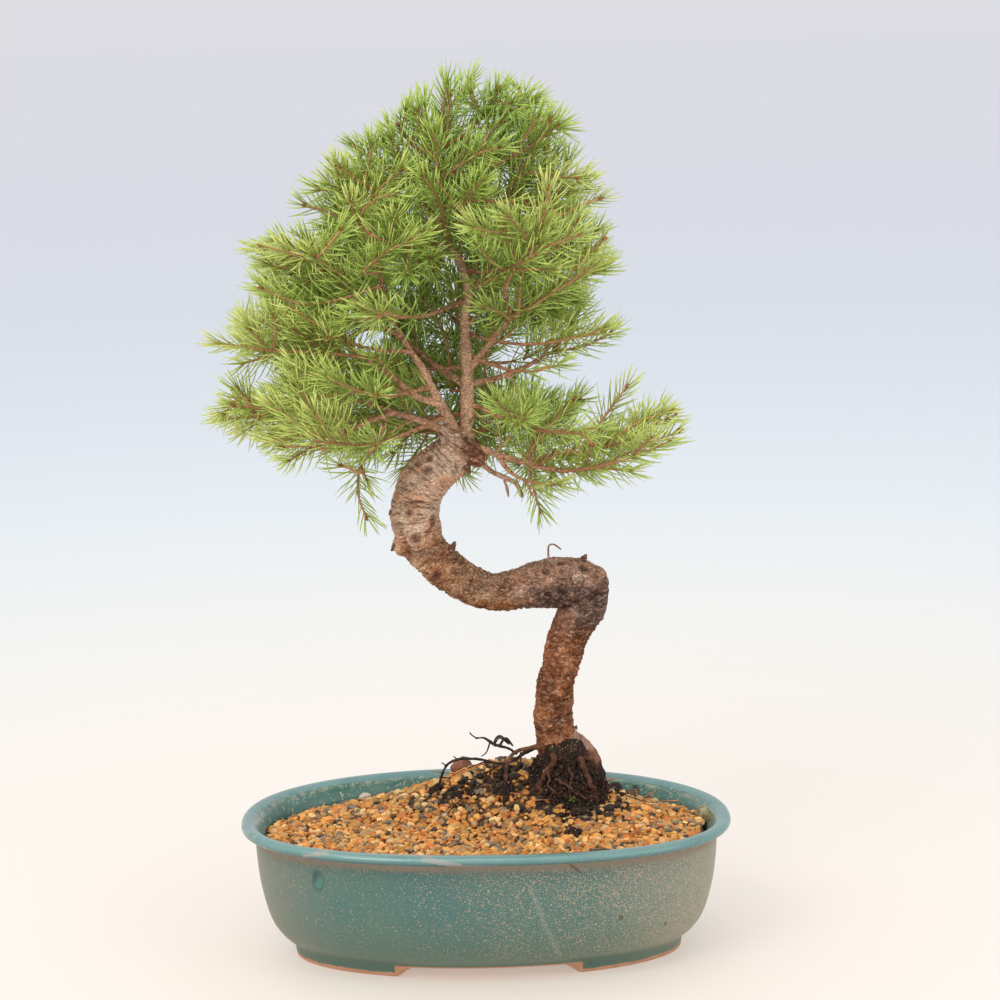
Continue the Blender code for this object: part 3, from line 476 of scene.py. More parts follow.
# %% [markdown]
# ## The pot
# The pot is a shallow oval bowl with a rolled lip and two low feet, glazed blue green. It could be thrown on a
# Screw modifier, but an oval isn't round, so the profile is carried round a rounded oval instead: the same list
# of insets and heights at every angle. The rim sags a little towards both ends, as clay does in the kiln.

# %% The rounded oval and the profile
POT_HALF_LENGTH = 135.5
POT_HALF_DEPTH = 86.5
POT_HEIGHT = 79.7
DEPTH_PER_INSET = 1.3
RIM_TILT = -0.0122
RIM_DROP = 2.4
OVAL_POWER = 2.25
RECESS_HEIGHT = 7.2
CUT_HALF_WIDTH_BOTTOM = 50.0
CUT_HALF_WIDTH_TOP = 42.0
CUT_HEIGHT = 6.4
DRAIN_RADIUS = 8.0
DRAIN_X = 44.0
# Inset from the rim, height, and how far each corner is rounded
PROFILE = [
    (55, 7.2, 2), (38.4, 7.2, 1.5), (36.9, 0, 0.8), (28.4, 0, 1.2), (27.4, 6.8, 1.6), (25.4, 9.2, 2.5),
    (19.8, 14.5, 6), (14.4, 24, 8), (10, 42, 9), (8.2, 60, 8), (7.8, 72, 3), (5.6, 74.2, 1.2),
    (0.9, 74.9, 1.6), (-0.1, 77.3, 1.4), (1.4, 79.9, 1.6), (5.2, 79.9, 2.4), (9.0, 77.3, 2.2),
    (13, 72, 3), (16, 42, 9), (18.5, 28, 5), (24.5, 18, 5), (34, 13.5, 3), (55, 13.5, 2),
]
INSIDE = ((13, 72), (16, 42), (18.5, 28), (24.5, 18), (34, 13.5))


def oval(inset, height, angle):
    """Points of rounded ovals: powers of cosine and sine, signed, times the half length and half depth.

    Below 24 mm the power falls towards 2, a true ellipse. The sag grows with the height and with x squared.
    """
    inset, height = np.asarray(inset, float)[:, None], np.asarray(height, float)[:, None]
    cosine, sine = np.cos(angle)[None], np.sin(angle)[None]
    power = OVAL_POWER - 0.25 * np.maximum(0, 1 - height / 24.0)
    x = (POT_HALF_LENGTH - inset) * np.sign(cosine) * np.abs(cosine) ** (2 / power)
    y = (POT_HALF_DEPTH - DEPTH_PER_INSET * inset) * np.sign(sine) * np.abs(sine) ** (2 / power)
    sag = RIM_TILT * x - RIM_DROP * (x / POT_HALF_LENGTH) ** 2
    z = height + sag * np.maximum(height - RECESS_HEIGHT, 0) / POT_HEIGHT
    return np.stack([x, y, z], axis=-1)


def round_corners(rows, longest):
    """A line through corners, each replaced by a short parabola, with straight parts cut into short steps."""
    rows = np.asarray(rows, float)
    corner, radius = rows[:, :2], rows[:, 2]
    t = np.linspace(0, 1, 5)[:, None]
    line = [corner[0]]
    for before, here, after, size in zip(corner[:-2], corner[1:-1], corner[2:], radius[1:-1]):
        back, on = before - here, after - here
        back_length, on_length = np.linalg.norm(back), np.linalg.norm(on)
        start = here + back / back_length * min(size, back_length * 0.48)
        end = here + on / on_length * min(size, on_length * 0.48)
        straight = start - line[-1]
        steps = max(1, int(np.linalg.norm(straight) / longest))
        line += [line[-1] + straight * k / steps for k in range(1, steps)]
        line += list((1 - t) ** 2 * start + 2 * t * (1 - t) * here + t ** 2 * end)
    straight = corner[-1] - line[-1]
    steps = max(1, int(np.linalg.norm(straight) / (4 * longest)))
    line += [line[-1] + straight * k / steps for k in range(1, steps + 1)]
    return np.array(line)


def finer_between(line, low, high, parts):
    """More points on the outer wall between two heights: the line read at fractions of its own numbering."""
    number = np.arange(len(line), dtype=float)
    chosen = number[(line[:, 1] > low) & (line[:, 1] < high) & (number < np.argmax(line[:, 1]))]
    extra = (chosen[:, None] + np.arange(1, parts) / parts).ravel()
    number_fine = np.sort(np.concatenate([number, extra]))
    return np.stack([np.interp(number_fine, number, column) for column in line.T], axis=1)


profile = finer_between(round_corners(PROFILE, 5.0), 52, 68, 3)
print("profile", len(profile), "points")

# %% [markdown]
# ## Feet, stamp and drain holes
# The foot ring is cut away at the middle, so the lowest points there are lifted to the height of the cut. A small
# oval hollow sits at the upper left of the front, as a thumb or a stamp would leave it. Two drain holes are cut by
# Boolean, the one job here that a formula does badly.

# %% The pot
STAMP = (-90.0, -58.0, 60.2)
STAMP_SIZE = (2.7, 4.8)
# Evenly spaced columns, and closer ones where the stamp is
POT_ANGLES = np.sort(np.concatenate([np.arange(350) * 2 * math.pi / 350, np.linspace(3.722, 3.822, 22)]))


def pot_points():
    """The profile at every angle, the cut in the foot ring, faint waves of the clay and the hollow of the stamp."""
    grid = oval(profile[:, 0], profile[:, 1], POT_ANGLES)
    across = (CUT_HALF_WIDTH_BOTTOM - np.abs(grid[..., 0])) / (CUT_HALF_WIDTH_BOTTOM - CUT_HALF_WIDTH_TOP)
    cut = CUT_HEIGHT * np.clip(across, 0, 1)
    low = profile[:, 1] < CUT_HEIGHT + 0.2
    grid[low, :, 2] = np.maximum(grid[low, :, 2], cut[low])
    out = unit(grid[..., :2])
    wave = 0.22 * lattice_noise(grid, 26.0, 3) + 0.07 * lattice_noise(grid, 7.0, 4)
    wave *= rise(grid[..., 2], 9.0, 16.0)
    grid[..., :2] += out * wave[..., None]
    where = (grid - np.array(STAMP))[..., [0, 2]] / np.array(STAMP_SIZE)
    outside = np.zeros(len(profile), bool)
    outside[: np.argmax(profile[:, 1])] = True
    hollow = np.exp(-(where ** 2).sum(axis=-1) ** 2) * (grid[..., 1] < 0) * outside[:, None]
    grid[..., :2] -= 1.0 * out * hollow[..., None]
    return grid


def cut_drain_holes(piece):
    """Two round holes through the floor."""
    for x in (-DRAIN_X, DRAIN_X):
        bpy.ops.mesh.primitive_cylinder_add(vertices=48, radius=DRAIN_RADIUS * MM, depth=0.04,
                                            location=to_scene((x, 0, 10)))
        cutter = bpy.context.object
        hole = piece.modifiers.new("hole", "BOOLEAN")
        hole.solver = "MANIFOLD"
        hole.object = cutter
        shape = bpy.data.meshes.new_from_object(piece.evaluated_get(bpy.context.evaluated_depsgraph_get()))
        piece.modifiers.clear()
        piece.data = shape
        bpy.data.objects.remove(cutter)


def glaze_finish():
    """Grey teal glaze with fine beige speckle, a glossy teal lip worn in places, whose top is painted lighter and
    outer side darker as painted light and shade, a pool of glaze in the stamp, painted darker at its upper left and
    lighter at its lower right as painted shade and light, with a ring of painted shade round it, a brown band under
    the lip, dark specks at the foot and bare orange clay at its edge."""
    f = Finish("glaze", Specular_IOR_Level=0.5)
    x, y, z = f.axis("X") + float(BOX_MIDDLE[0]) * MM, f.axis("Y"), f.axis("Z")
    level = z - x * RIM_TILT + x * x * (RIM_DROP / POT_HALF_LENGTH ** 2 / MM)
    front = f.step(y, 0.0, -0.001)
    broad = f.noise(13.0, 3.0, 0.6)
    fine = f.noise(170.0, 3.0, 0.6)

    def stroke(start, end, width, blur, ragged=0.0):
        """A line on the front from one (x, z) to another in millimetres, ragged where noise widens it."""
        (x0, z0), (x1, z1) = start, end
        long = math.hypot(x1 - x0, z1 - z0)
        along = ((x - x0 * MM) * (x1 - x0) + (level - z0 * MM) * (z1 - z0)) * (1 / long)
        off = ((x - x0 * MM) * (z1 - z0) - (level - z0 * MM) * (x1 - x0)) * (1 / long)
        off = off.greatest(off * -1.0) + (f.noise(330.0, 3.0, 0.7) - 0.5) * (ragged * MM)
        ends = f.step(along, -0.001, 0.001) * f.step(along, (long + 1) * MM, (long - 1) * MM)
        return f.step(off, (width + blur) * MM, width * MM) * ends * front

    def spot(place_x, place_z, half_x, half_z):
        """One inside an ellipse seen from the front, zero outside."""
        wide, high = (x - place_x * MM) * (1 / half_x / MM), (z - place_z * MM) * (1 / half_z / MM)
        return (wide * wide + high * high) ** 0.5

    body = f.mix(f.step(broad, 0.34, 0.68), tint(70, 112, 108), tint(82, 116, 104))
    body = f.mix(f.step(z, 0.05, 0.012) * 0.75, body, tint(88, 112, 94))
    body = f.mix(f.step(x, -0.07, -0.13) * 0.6, body, tint(138, 130, 108))
    body = f.mix(f.step(x, 0.05, 0.13) * 0.7, body, tint(160, 156, 134))
    body = f.mix(f.step(fine, 0.5, 0.75) * 0.22, body, tint(50, 100, 104))
    dense = f.step(x + z * 0.9, -0.06, 0.15)
    patches = f.noise(42.0, 3.0, 0.6)
    spots = f.noise(1250.0, 2.0, 0.5, 0.5)
    speckle = f.step(spots - (0.7 - dense * 0.11 - patches * 0.12), 0.0, 0.04) * f.step(level, 0.009, 0.016)
    body = f.mix(speckle * 0.7, body, f.mix(f.noise(150.0, 2.0), tint(206, 176, 152), tint(188, 162, 138)))
    ochre = f.step(f.noise(430.0, 2.0), 0.7, 0.74) * f.step(patches, 0.42, 0.6) * f.step(x, 0.05, -0.02)
    body = f.mix(ochre * 0.8, body, tint(178, 142, 82))
    body = f.mix(stroke((23.0, 60.0), (38.5, 15.6), 0.2, 2.0, 2.4) * 0.24, body, tint(168, 168, 150))
    fringe = f.noise(520.0, 3.0, 0.65) * 0.0085
    band = f.step(level + fringe, 0.0712, 0.0745) * f.step(level, 0.0756, 0.0742)
    body = f.mix(band * 0.76, body, f.mix(f.noise(240.0, 3.0), tint(130, 112, 96), tint(162, 144, 122)))
    dirt = f.step(spot(71.3, 37.3, 1.6, 2.2), 1.0, 0.6).greatest(f.step(spot(95.9, 28.1, 1.0, 1.8), 1.0, 0.6))
    dirt = (dirt * f.step(fine, 0.3, 0.5)).greatest(stroke((44.0, 72.4), (50.5, 66.6), 0.3, 0.5)) * front
    body = f.mix(dirt * 0.8, body, tint(92, 70, 44))
    pool = spot(*STAMP[::2], *STAMP_SIZE)
    stamp = f.step(pool, 1.02, 0.9) * front
    # Painted shade and light in the stamp's hollow: darker towards its upper left, lighter towards its lower right.
    teal = f.mix(f.step(x * 1.2 - z, -0.1735, -0.1655), tint(28, 72, 74), tint(62, 122, 112))
    # A ring of painted shade round the rim of the hollow.
    body = f.mix(f.step(pool, 1.5, 1.05) * front * 0.5, body, tint(46, 64, 60))
    body = f.mix(stamp, body, teal)
    lip = f.step(level, 0.0742, 0.0754)
    # Painted light and shade: the lip is darker on its outer side and lighter on its top, as light falls from above.
    lip_painted_light = f.mix(f.step(level, 0.0748, 0.0785), tint(36, 88, 92), tint(108, 148, 142))
    lip_painted_light = f.mix(f.step(f.noise(30.0, 3.0), 0.4, 0.65) * 0.35, lip_painted_light, tint(64, 118, 120))
    worn = stroke((-33.0, 79.3), (-12.0, 75.4), 0.9, 0.8, 2.4).greatest(stroke((-14, 75.4), (10, 74.8), 0.2, 0.6, 1.2))
    worn = worn.greatest(stroke((-97.0, 76.4), (-83.0, 79.8), 0.3, 1.3, 2.6))
    worn = worn.greatest(f.step(x, -0.096, -0.128) * f.step(f.noise(300.0, 4.0, 0.7), 0.5, 0.62) * 0.8)
    worn = worn.greatest(f.step(f.noise(640.0, 2.0), 0.6, 0.68) * f.step(x, 0.0, 0.11) * 0.8)
    worn = worn * f.step(fine, 0.25, 0.5, 0.45, 1.0)
    colour = f.mix(lip, body, f.mix(worn * 0.6, lip_painted_light, tint(174, 160, 150)))
    parts = f.node("SeparateColor", None, {0: f.painted("tone")})
    inner, edge = Value(f, parts.outputs[0]), Value(f, parts.outputs[1])
    wall = f.mix(f.step(broad, 0.35, 0.7), tint(70, 112, 102), tint(108, 142, 130))
    wall = f.mix(f.step(f.noise(520.0, 2.0), 0.6, 0.66) * 0.7, wall, tint(184, 180, 158))
    wall = f.mix(f.step(spot(86.0, 72.0, 2.0, 3.0), 1.2, 0.8), wall, tint(46, 62, 52))
    colour = f.mix(inner, colour, wall)
    colour = f.mix(edge * f.step(f.noise(220.0, 3.0), 0.42, 0.66) * 0.5, colour, tint(190, 180, 154))
    specks = f.step(f.noise(300.0, 3.0, 0.7), 0.64, 0.69) * f.step(z, 0.0115, 0.009) * f.step(z, 0.004, 0.0065)
    colour = f.mix(f.step(z, 0.0098, 0.0084) * 0.5, colour, tint(74, 106, 92))
    colour = f.mix(specks * 0.9, colour, tint(26, 34, 28))
    between = f.step(x.greatest(x * -1.0), 0.0515, 0.0505) * f.step(z, 0.0077, 0.0069)
    clay = f.step(z + f.noise(90.0, 3.0) * 0.0024, 0.0042, 0.0034).greatest(between)
    colour = f.mix(clay, colour, f.mix(f.noise(260.0, 4.0, 0.6), tint(216, 168, 134), tint(172, 116, 86)))
    gloss = lip * (1.0 - worn) * 0.24 + inner * 0.1 + stamp * 0.3
    rough = 0.5 - gloss + band * 0.2 + clay * 0.4 + speckle * 0.1
    coat = f.step(lip.greatest(stamp).greatest(inner * 0.6), 0.0, 1.0, 0.08, 0.5) * (1.0 - clay)
    height = fine * 0.35 + speckle * 0.4 + f.noise(1100.0, 2.0) * 0.25
    return f.wear(Base_Color=colour, Roughness=rough, Coat_Weight=coat, Normal=f.relief(height, 0.00025, 0.5))


row = np.arange(len(profile)) - np.argmax(profile[:, 1])
row_tone = np.stack([row > 6, np.exp(-((row - 8) / 1.5) ** 2), row * 0], axis=1).astype(float)
inner_tone = np.vstack([np.repeat(row_tone, len(POT_ANGLES), axis=0), [(0, 0, 0), (1, 0, 0)]])
pot_gather = Gather()
pot_gather.add(*closed_grid(pot_points()), tone=inner_tone)
cut_drain_holes(make_piece("pot_glazed", pot_gather, glaze_finish(), ["pot"]))

# %% [markdown]
# ## The gravel
# The pot is filled with crushed gravel, mostly ochre with some grey, brown and nearly white grains. A bump on a
# flat lid would look painted, so a closed bed fills the bowl up to just under the surface and some four thousand
# separate grains lie on it. Each grain is the same little block of 26 points, stretched, turned and dented.

# %% The bed
MOUND_CENTRE = (14.0, 38.0)
MOUND_HEIGHT = 23.0
MOUND_SPREAD = (34.0, 22.0)
BALL_CENTRE = (45.0, 26.0)


def bed_height(x, y):
    """A level edge, a little higher at the front, a mound behind the roots and a low rise round the ball.

    What rises above the level fades out over the last few millimetres before the wall.
    """
    level = 68.3 + 2.2 * (0.5 - y / (2 * POT_HALF_DEPTH))
    mound = ((x - MOUND_CENTRE[0]) / MOUND_SPREAD[0]) ** 2 + ((y - MOUND_CENTRE[1]) / MOUND_SPREAD[1]) ** 2
    back = ((x + 40.0) / 60.0) ** 2 + ((y - 62.0) / 26.0) ** 2
    ball = ((x - BALL_CENTRE[0]) / 36.0) ** 2 + ((y - BALL_CENTRE[1] + 4.0) / 30.0) ** 2
    wall = (np.abs(x) / (POT_HALF_LENGTH - 14)) ** OVAL_POWER + (np.abs(y) / (POT_HALF_DEPTH - 18)) ** OVAL_POWER
    rise_over = MOUND_HEIGHT * np.exp(-mound / 2) + 4.0 * np.exp(-back / 2) + 4.0 * np.exp(-ball / 2)
    return level + rise_over * rise(1.02 - wall, 0.0, 0.4)


def inside_inset(height):
    """The inset of the bowl's inner wall at a height, read from its straight parts."""
    insets, heights = zip(*reversed(INSIDE))
    return np.interp(height, heights, insets)


def bed_points():
    """Rings up the inside of the wall with a small gap, then inwards over the top, where noise makes it uneven."""
    angle = np.arange(180) * 2 * math.pi / 180
    heights = np.array([15.4, 18.0, 28.0, 42.0, 55.0, 66.0])
    wall = oval(inside_inset(heights) + 0.5, heights, angle)
    share = np.linspace(1, 0.01, 44)[:, None, None]
    top = wall[-1][None] * share
    top[..., 2] = bed_height(top[..., 0], top[..., 1]) - 1.2
    top[..., 2] += 0.8 * lattice_noise(top, 4.0, 21) + 0.5 * lattice_noise(top, 1.8, 22)
    top[0, :, 2] = wall[-1][:, 2] + 0.6
    return np.vstack([wall, top])


def stone_finish():
    """Mineral grit: the painted colour, mottled, with a grainy relief."""
    f = Finish("gravel", Roughness=0.85)
    mottle = f.noise(900.0, 3.0, 0.65)
    colour = f.mix(f.step(mottle, 0.35, 0.7) * 0.45, f.painted("tone"), tint(112, 84, 58), "MULTIPLY")
    colour = f.mix(f.step(f.noise(1800.0, 2.0), 0.58, 0.72) * 0.3, colour, tint(236, 208, 160))
    height = mottle * 0.6 + f.noise(2400.0, 2.0) * 0.4
    return f.wear(Base_Color=colour, Normal=f.relief(height, 0.0004, 0.7))


gravel_finish = stone_finish()
bed_gather = Gather()
bed_gather.add(*closed_grid(bed_points()), tone=tint(122, 86, 50))
make_piece("gravel_bed", bed_gather, gravel_finish, ["gravel"])

# %% One grain and four thousand
GRAIN_SPACING = 3.1
GRAIN_COLOURS = [
    (0.34, tint(232, 168, 88)), (0.20, tint(216, 146, 70)), (0.14, tint(240, 196, 130)),
    (0.05, tint(212, 122, 58)), (0.13, tint(180, 142, 96)), (0.09, tint(142, 124, 100)),
    (0.05, tint(84, 68, 56)), (0.004, tint(224, 206, 176)),
]


def block():
    """The 26 outer points of a cube cut in three each way, pushed halfway to a ball, and its 24 quads."""
    number = {}
    points = []
    for place in np.ndindex(3, 3, 3):
        if place != (1, 1, 1):
            number[place] = len(points)
            points.append(np.array(place) - 1.0)
    quads = []
    for axis in range(3):
        for side in (0, 2):
            for a, b in np.ndindex(2, 2):
                corners = [(a, b), (a + 1, b), (a + 1, b + 1), (a, b + 1)]
                if side == 0:
                    corners.reverse()
                quads.append([number[tuple(np.insert(corner, axis, side))] for corner in corners])
                if axis == 1:
                    quads[-1].reverse()
    points = np.array(points)
    return 0.35 * points + 0.65 * unit(points), np.array(quads)


def turns(draw, count):
    """Rotation matrices from random unit quaternions."""
    w, x, y, z = unit(draw.normal(size=(count, 4))).T
    rows = [[1 - 2 * (y * y + z * z), 2 * (x * y - z * w), 2 * (x * z + y * w)],
            [2 * (x * y + z * w), 1 - 2 * (x * x + z * z), 2 * (y * z - x * w)],
            [2 * (x * z - y * w), 2 * (y * z + x * w), 1 - 2 * (x * x + y * y)]]
    return np.array(rows).transpose(2, 0, 1)


def grains(places, sizes, draw, flat=0.75):
    """Each grain: the block with every point dented, stretched to three half sizes, turned and put in place."""
    shape, quads = block()
    count = len(places)
    dents = draw.uniform(0.78, 1.16, size=(count, len(shape), 1))
    stretch = np.stack([draw.uniform(0.8, 1.25, count), draw.uniform(0.7, 1.05, count),
                        draw.uniform(0.6, 0.95, count)], axis=1)
    points = shape[None] * dents * (stretch * sizes[:, None])[:, None]
    points = np.einsum("nij,nkj->nki", turns(draw, count), points)
    points[..., 2] *= flat
    points += places[:, None]
    faces = quads[None] + (np.arange(count) * len(shape))[:, None, None]
    return points, faces


def lattice_places(spacing, draw):
    """A hexagonal lattice over the oval, each point moved at random by a third of the spacing."""
    x = np.arange(-POT_HALF_LENGTH, POT_HALF_LENGTH, spacing)
    y = np.arange(-POT_HALF_DEPTH, POT_HALF_DEPTH, spacing * 0.866)
    x, y = np.meshgrid(x, y)
    x[1::2] += spacing / 2
    places = np.stack([x.ravel(), y.ravel()], axis=1) + draw.uniform(-0.38, 0.38, (x.size, 2)) * spacing
    inner = inside_inset(69.0) + 1.5
    power = (np.abs(places[:, 0]) / (POT_HALF_LENGTH - inner)) ** OVAL_POWER
    power += (np.abs(places[:, 1]) / (POT_HALF_DEPTH - DEPTH_PER_INSET * inner)) ** OVAL_POWER
    return places[power < 1]


def dirt(places):
    """How dark the soil between the grains is: peat round the ball and in a few washed patches."""
    spots = [((52, 6), (12, 5), 0.9), ((8, 24), (16, 10), 0.85), ((-14, 28), (15, 9), 0.75), ((48, 14), (26, 20), 0.7),
             ((-29, 34), (7, 6), 0.6), ((72, 40), (10, 12), 0.8), ((70, -62), (7, 4), 0.7), ((24, 10), (12, 9), 0.6)]
    total = np.zeros(len(places))
    for centre, spread, weight in spots:
        away = ((places[:, :2] - centre) / spread) ** 2
        total = np.maximum(total, weight * np.exp(-away.sum(axis=1) / 2))
    return total


def strewn(spots, draw):
    """Each grain's place on the bed, its half size and its colour, darker where there is dirt."""
    sizes = np.clip(draw.lognormal(math.log(1.78), 0.24, len(spots)), 1.1, 3.0)
    places = np.column_stack([spots, bed_height(spots[:, 0], spots[:, 1]) + draw.uniform(-0.9, 0.7, len(spots))])
    shares = np.array([share for share, _ in GRAIN_COLOURS])
    colours = np.array([colour for _, colour in GRAIN_COLOURS])
    kind = draw.choice(len(colours), len(spots), p=shares / shares.sum())
    tones = colours[kind] * draw.uniform(0.72, 1.3, (len(spots), 1)) * draw.uniform(0.94, 1.06, (len(spots), 3))
    soiled = (dirt(places) > draw.uniform(0.25, 1.0, len(spots)))[:, None]
    tones = np.where(soiled, np.array(tint(48, 37, 30)) * draw.uniform(0.6, 1.6, (len(spots), 1)), tones)
    return places, sizes, tones


def grain_piece(name, places, sizes, tones, draw):
    """One piece of flat-shaded grains, each in one colour."""
    points, faces = grains(places, sizes, draw)
    gather = Gather()
    gather.add(points, faces, tone=np.repeat(tones, points.shape[1], axis=0))
    make_piece(name, gather, gravel_finish, smooth=False)


draw = np.random.default_rng(31)
spots = lattice_places(GRAIN_SPACING, draw)
grain_places, sizes, tones = strewn(spots, draw)
for half, chosen in (("left", spots[:, 0] < 0), ("right", spots[:, 0] >= 0)):
    grain_piece("gravel_grains_" + half, grain_places[chosen], sizes[chosen], tones[chosen], draw)

# %% More grains where the mound slopes down to the back wall, because a slope spreads the lattice out
SLOPE_FROM_Y = 25.0
SLOPE_DROP = 0.5
slope_draw = np.random.default_rng(37)
slope_places = np.vstack([lattice_places(GRAIN_SPACING, slope_draw) for _ in range(2)])
drop = bed_height(slope_places[:, 0], slope_places[:, 1] - 1) - bed_height(slope_places[:, 0], slope_places[:, 1] + 1)
slope_places = slope_places[(drop > SLOPE_DROP) & (slope_places[:, 1] > SLOPE_FROM_Y)]
grain_piece("gravel_grains_back", *strewn(slope_places, slope_draw), slope_draw)
print("grains on the back slope:", len(slope_places))

# %% [markdown]
# ## The root ball
# The black peat that the roots hold together stands proud of the gravel. It is a lumpy closed grid: an outline of
# radii by height with three sizes of lattice noise on it. Crumbs of peat cling to it, made as the grains are.

# %% Peat
BALL_DEPTH_SHARE = 0.9
# Height and radius
BALL_PROFILE = ((46, 14), (58, 19), (72, 21.5), (82, 22), (91, 20.5), (97, 17.5), (102, 15.5), (107, 13.8),
                (111, 12.4), (114, 10))


def beside_ball(azimuth, height, out):
    """Places at a distance out from the ball's outline, which is wider than deep, at angles and heights."""
    reach = np.interp(height, *zip(*BALL_PROFILE)) + out
    x = BALL_CENTRE[0] + reach * np.cos(azimuth)
    y = BALL_CENTRE[1] + BALL_DEPTH_SHARE * reach * np.sin(azimuth)
    return np.stack([x, y, height], axis=-1)


def ball_points():
    """Rings of the outline, moved along their own direction by noise."""
    angle = np.arange(128) * 2 * math.pi / 128
    grid = beside_ball(angle, np.linspace(46, 114, 96)[:, None] * np.ones(128), 0.0)
    direction = np.stack([np.cos(angle), BALL_DEPTH_SHARE * np.sin(angle)], axis=-1)[None]
    lump = 2.2 * lattice_noise(grid, 9.0, 41) + 1.5 * lattice_noise(grid, 3.6, 42) + 0.9 * lattice_noise(grid, 1.4, 43)
    grid[..., :2] += lump[..., None] * direction
    grid[..., 2] += 0.8 * lattice_noise(grid, 3.0, 44)
    return grid


def peat_finish():
    """Black fibrous peat, a little brown on its lumps, rough as felt."""
    f = Finish("peat", Roughness=0.95)
    fibre = f.noise(700.0, 5.0, 0.7, 1.2)
    colour = f.mix(f.step(fibre, 0.4, 0.68), tint(13, 7, 5), tint(66, 38, 23))
    colour = f.mix(f.step(f.noise(240.0, 3.0), 0.5, 0.64) * 0.5, colour, tint(84, 54, 34))
    colour = f.mix(f.step(f.noise(900.0, 2.0), 0.63, 0.7) * 0.85, colour, tint(192, 150, 112))
    colour = f.mix(f.step(f.noise(150.0, 3.0), 0.58, 0.68) * 0.55, colour, tint(62, 82, 34))
    height = fibre * 0.7 + f.noise(2600.0, 2.0) * 0.3
    return f.wear(Base_Color=colour, Normal=f.relief(height, 0.0014, 1.0))


peat = peat_finish()
ball_gather = Gather()
ball_gather.add(*closed_grid(ball_points()))
make_piece("peat_ball", ball_gather, peat, ["root_ball"])

# %% Crumbs of peat on the ball and in small heaps: middle, spread, number
CRUMBS_ON_BALL = 520
PEAT_LUMPS = [((73, 50, 75), 7, 60), ((11, 14, 84), 5, 90), ((10, 26, 86), 5, 20), ((-14, 20, 76), 9, 26),
              ((52, 2, 73), 6, 34), ((46, -22, 72), 5, 20), ((-29, 34, 75), 4, 20), ((70, -62, 71), 4, 12)]
draw = np.random.default_rng(47)
azimuth = draw.uniform(0, 2 * math.pi, CRUMBS_ON_BALL)
height = 66 + 36 * draw.random(CRUMBS_ON_BALL) ** 0.9
crumb_places = beside_ball(azimuth, height, draw.uniform(-1.0, 1.3, CRUMBS_ON_BALL))
for centre, spread, number in PEAT_LUMPS:
    offset = draw.normal(size=(number, 3)) * (spread * 0.5, spread * 0.4, spread * 0.12)
    places = np.array(centre) + offset
    places[:, 2] = bed_height(places[:, 0], places[:, 1]) + 0.8 + np.abs(offset[:, 2])
    crumb_places = np.vstack([crumb_places, places])
crumb_sizes = draw.uniform(0.7, 1.9, len(crumb_places))
crumb_gather = Gather()
crumb_gather.add(*grains(crumb_places, crumb_sizes, draw, 0.9))
make_piece("peat_crumbs", crumb_gather, peat, smooth=False)

# %% [markdown]
# ## The tree's skeleton
# The plain model was grown from tables of places with a radius, and the fine pieces follow the same tables, so
# that they lie where the plain ones do. A Catmull-Rom curve passes through every place in a table.

# %% Tables of the stem, the roots and the limbs
# Wood: places in millimetres with the radius last
STEM = [
    (46, 27, 52, 9), (46, 27, 72, 12), (45, 27, 88, 12.5), (43, 27, 100, 12), (41, 27, 112, 11.5),
    (39, 27, 123, 11), (40, 27, 134, 10.4), (41, 26, 146, 10.6), (44, 26, 157, 10.7), (48, 25, 170, 10.9),
    (53, 24, 181, 11.8), (57, 23, 191, 13), (55, 22, 200, 14.2), (47, 21, 203, 14.3), (37, 20, 203, 13.8),
    (29, 19, 202, 12.6), (21, 18, 201, 11.4), (12, 17, 200, 10.8), (3, 15, 201, 10.3), (-8, 13, 206, 10.8),
    (-17, 11, 213, 11.2), (-24, 10, 220, 11.4), (-30, 9, 227, 12.2), (-33, 8, 235, 13), (-35, 8, 244, 13),
    (-34, 8, 253, 13.1), (-31, 8, 261, 13), (-25, 9, 268, 12.8), (-17, 10, 275, 12.3), (-10, 11, 281, 11),
    (-5, 11, 288, 8.5),
]
ROOTS = {
    "arch": [
        (40, 26, 111, 5), (31, 22, 109.5, 2.2), (26, 20, 109, 1.5), (22, 18, 109, 1.2), (18.7, 16, 108.7, 1.2),
        (14.7, 13, 106.6, 1.2), (12.3, 10, 101, 1.2), (11, 8, 91, 1.3), (10.8, 8, 84, 1.3), (10, 8, 70, 1.3)],
    "right": [
        (44, 26, 112, 8), (51, 25, 109, 6.6), (56.5, 24, 104, 6.2), (60, 23, 97, 5.8), (61.5, 22, 89, 5),
        (61, 21, 78, 4.2), (60, 21, 68, 3)],
    "back": [(43, 32, 108, 7), (46, 44, 98, 4.5), (49, 51, 86, 3.5), (50, 54, 70, 2.6)],
    "hair": [(18, 16, 107, 1.4), (13, 14, 111, 1.1), (6, 14, 113, 1.5), (0, 14, 117, 0.9), (-5, 14, 117, 0.8)],
    "runner": [
        (31, 22, 110, 1.9), (23, 22, 106, 1.4), (15, 22, 101, 1.2), (7, 22, 100, 1.1), (-3, 24, 102, 1),
        (-14, 29, 101, 1), (-21, 33, 97, 0.9), (-25, 35, 89, 0.9), (-28, 36, 74, 0.9)],
    "nub": [
        (40, 34, 72, 4), (20, 46, 69, 3), (0, 56, 70, 3), (-10, 58, 76, 3.8), (-14, 58, 83, 4.6), (-17, 58, 87, 3.6)],
}

# Burrs and knots on the stem: middle, half sizes
BURRS = [
    ((63, 22, 203), (8, 10, 9)), ((46, 16, 212), (9, 9, 6)), ((-42, 8, 229), (5.5, 8, 6.5)),
    ((-32, 0, 268), (6, 6, 6)), ((0, 8, 277), (5, 7, 6.5)), ((-3, 13, 288), (9, 9, 8)), ((-14, 5, 291), (7, 6, 6)),
]
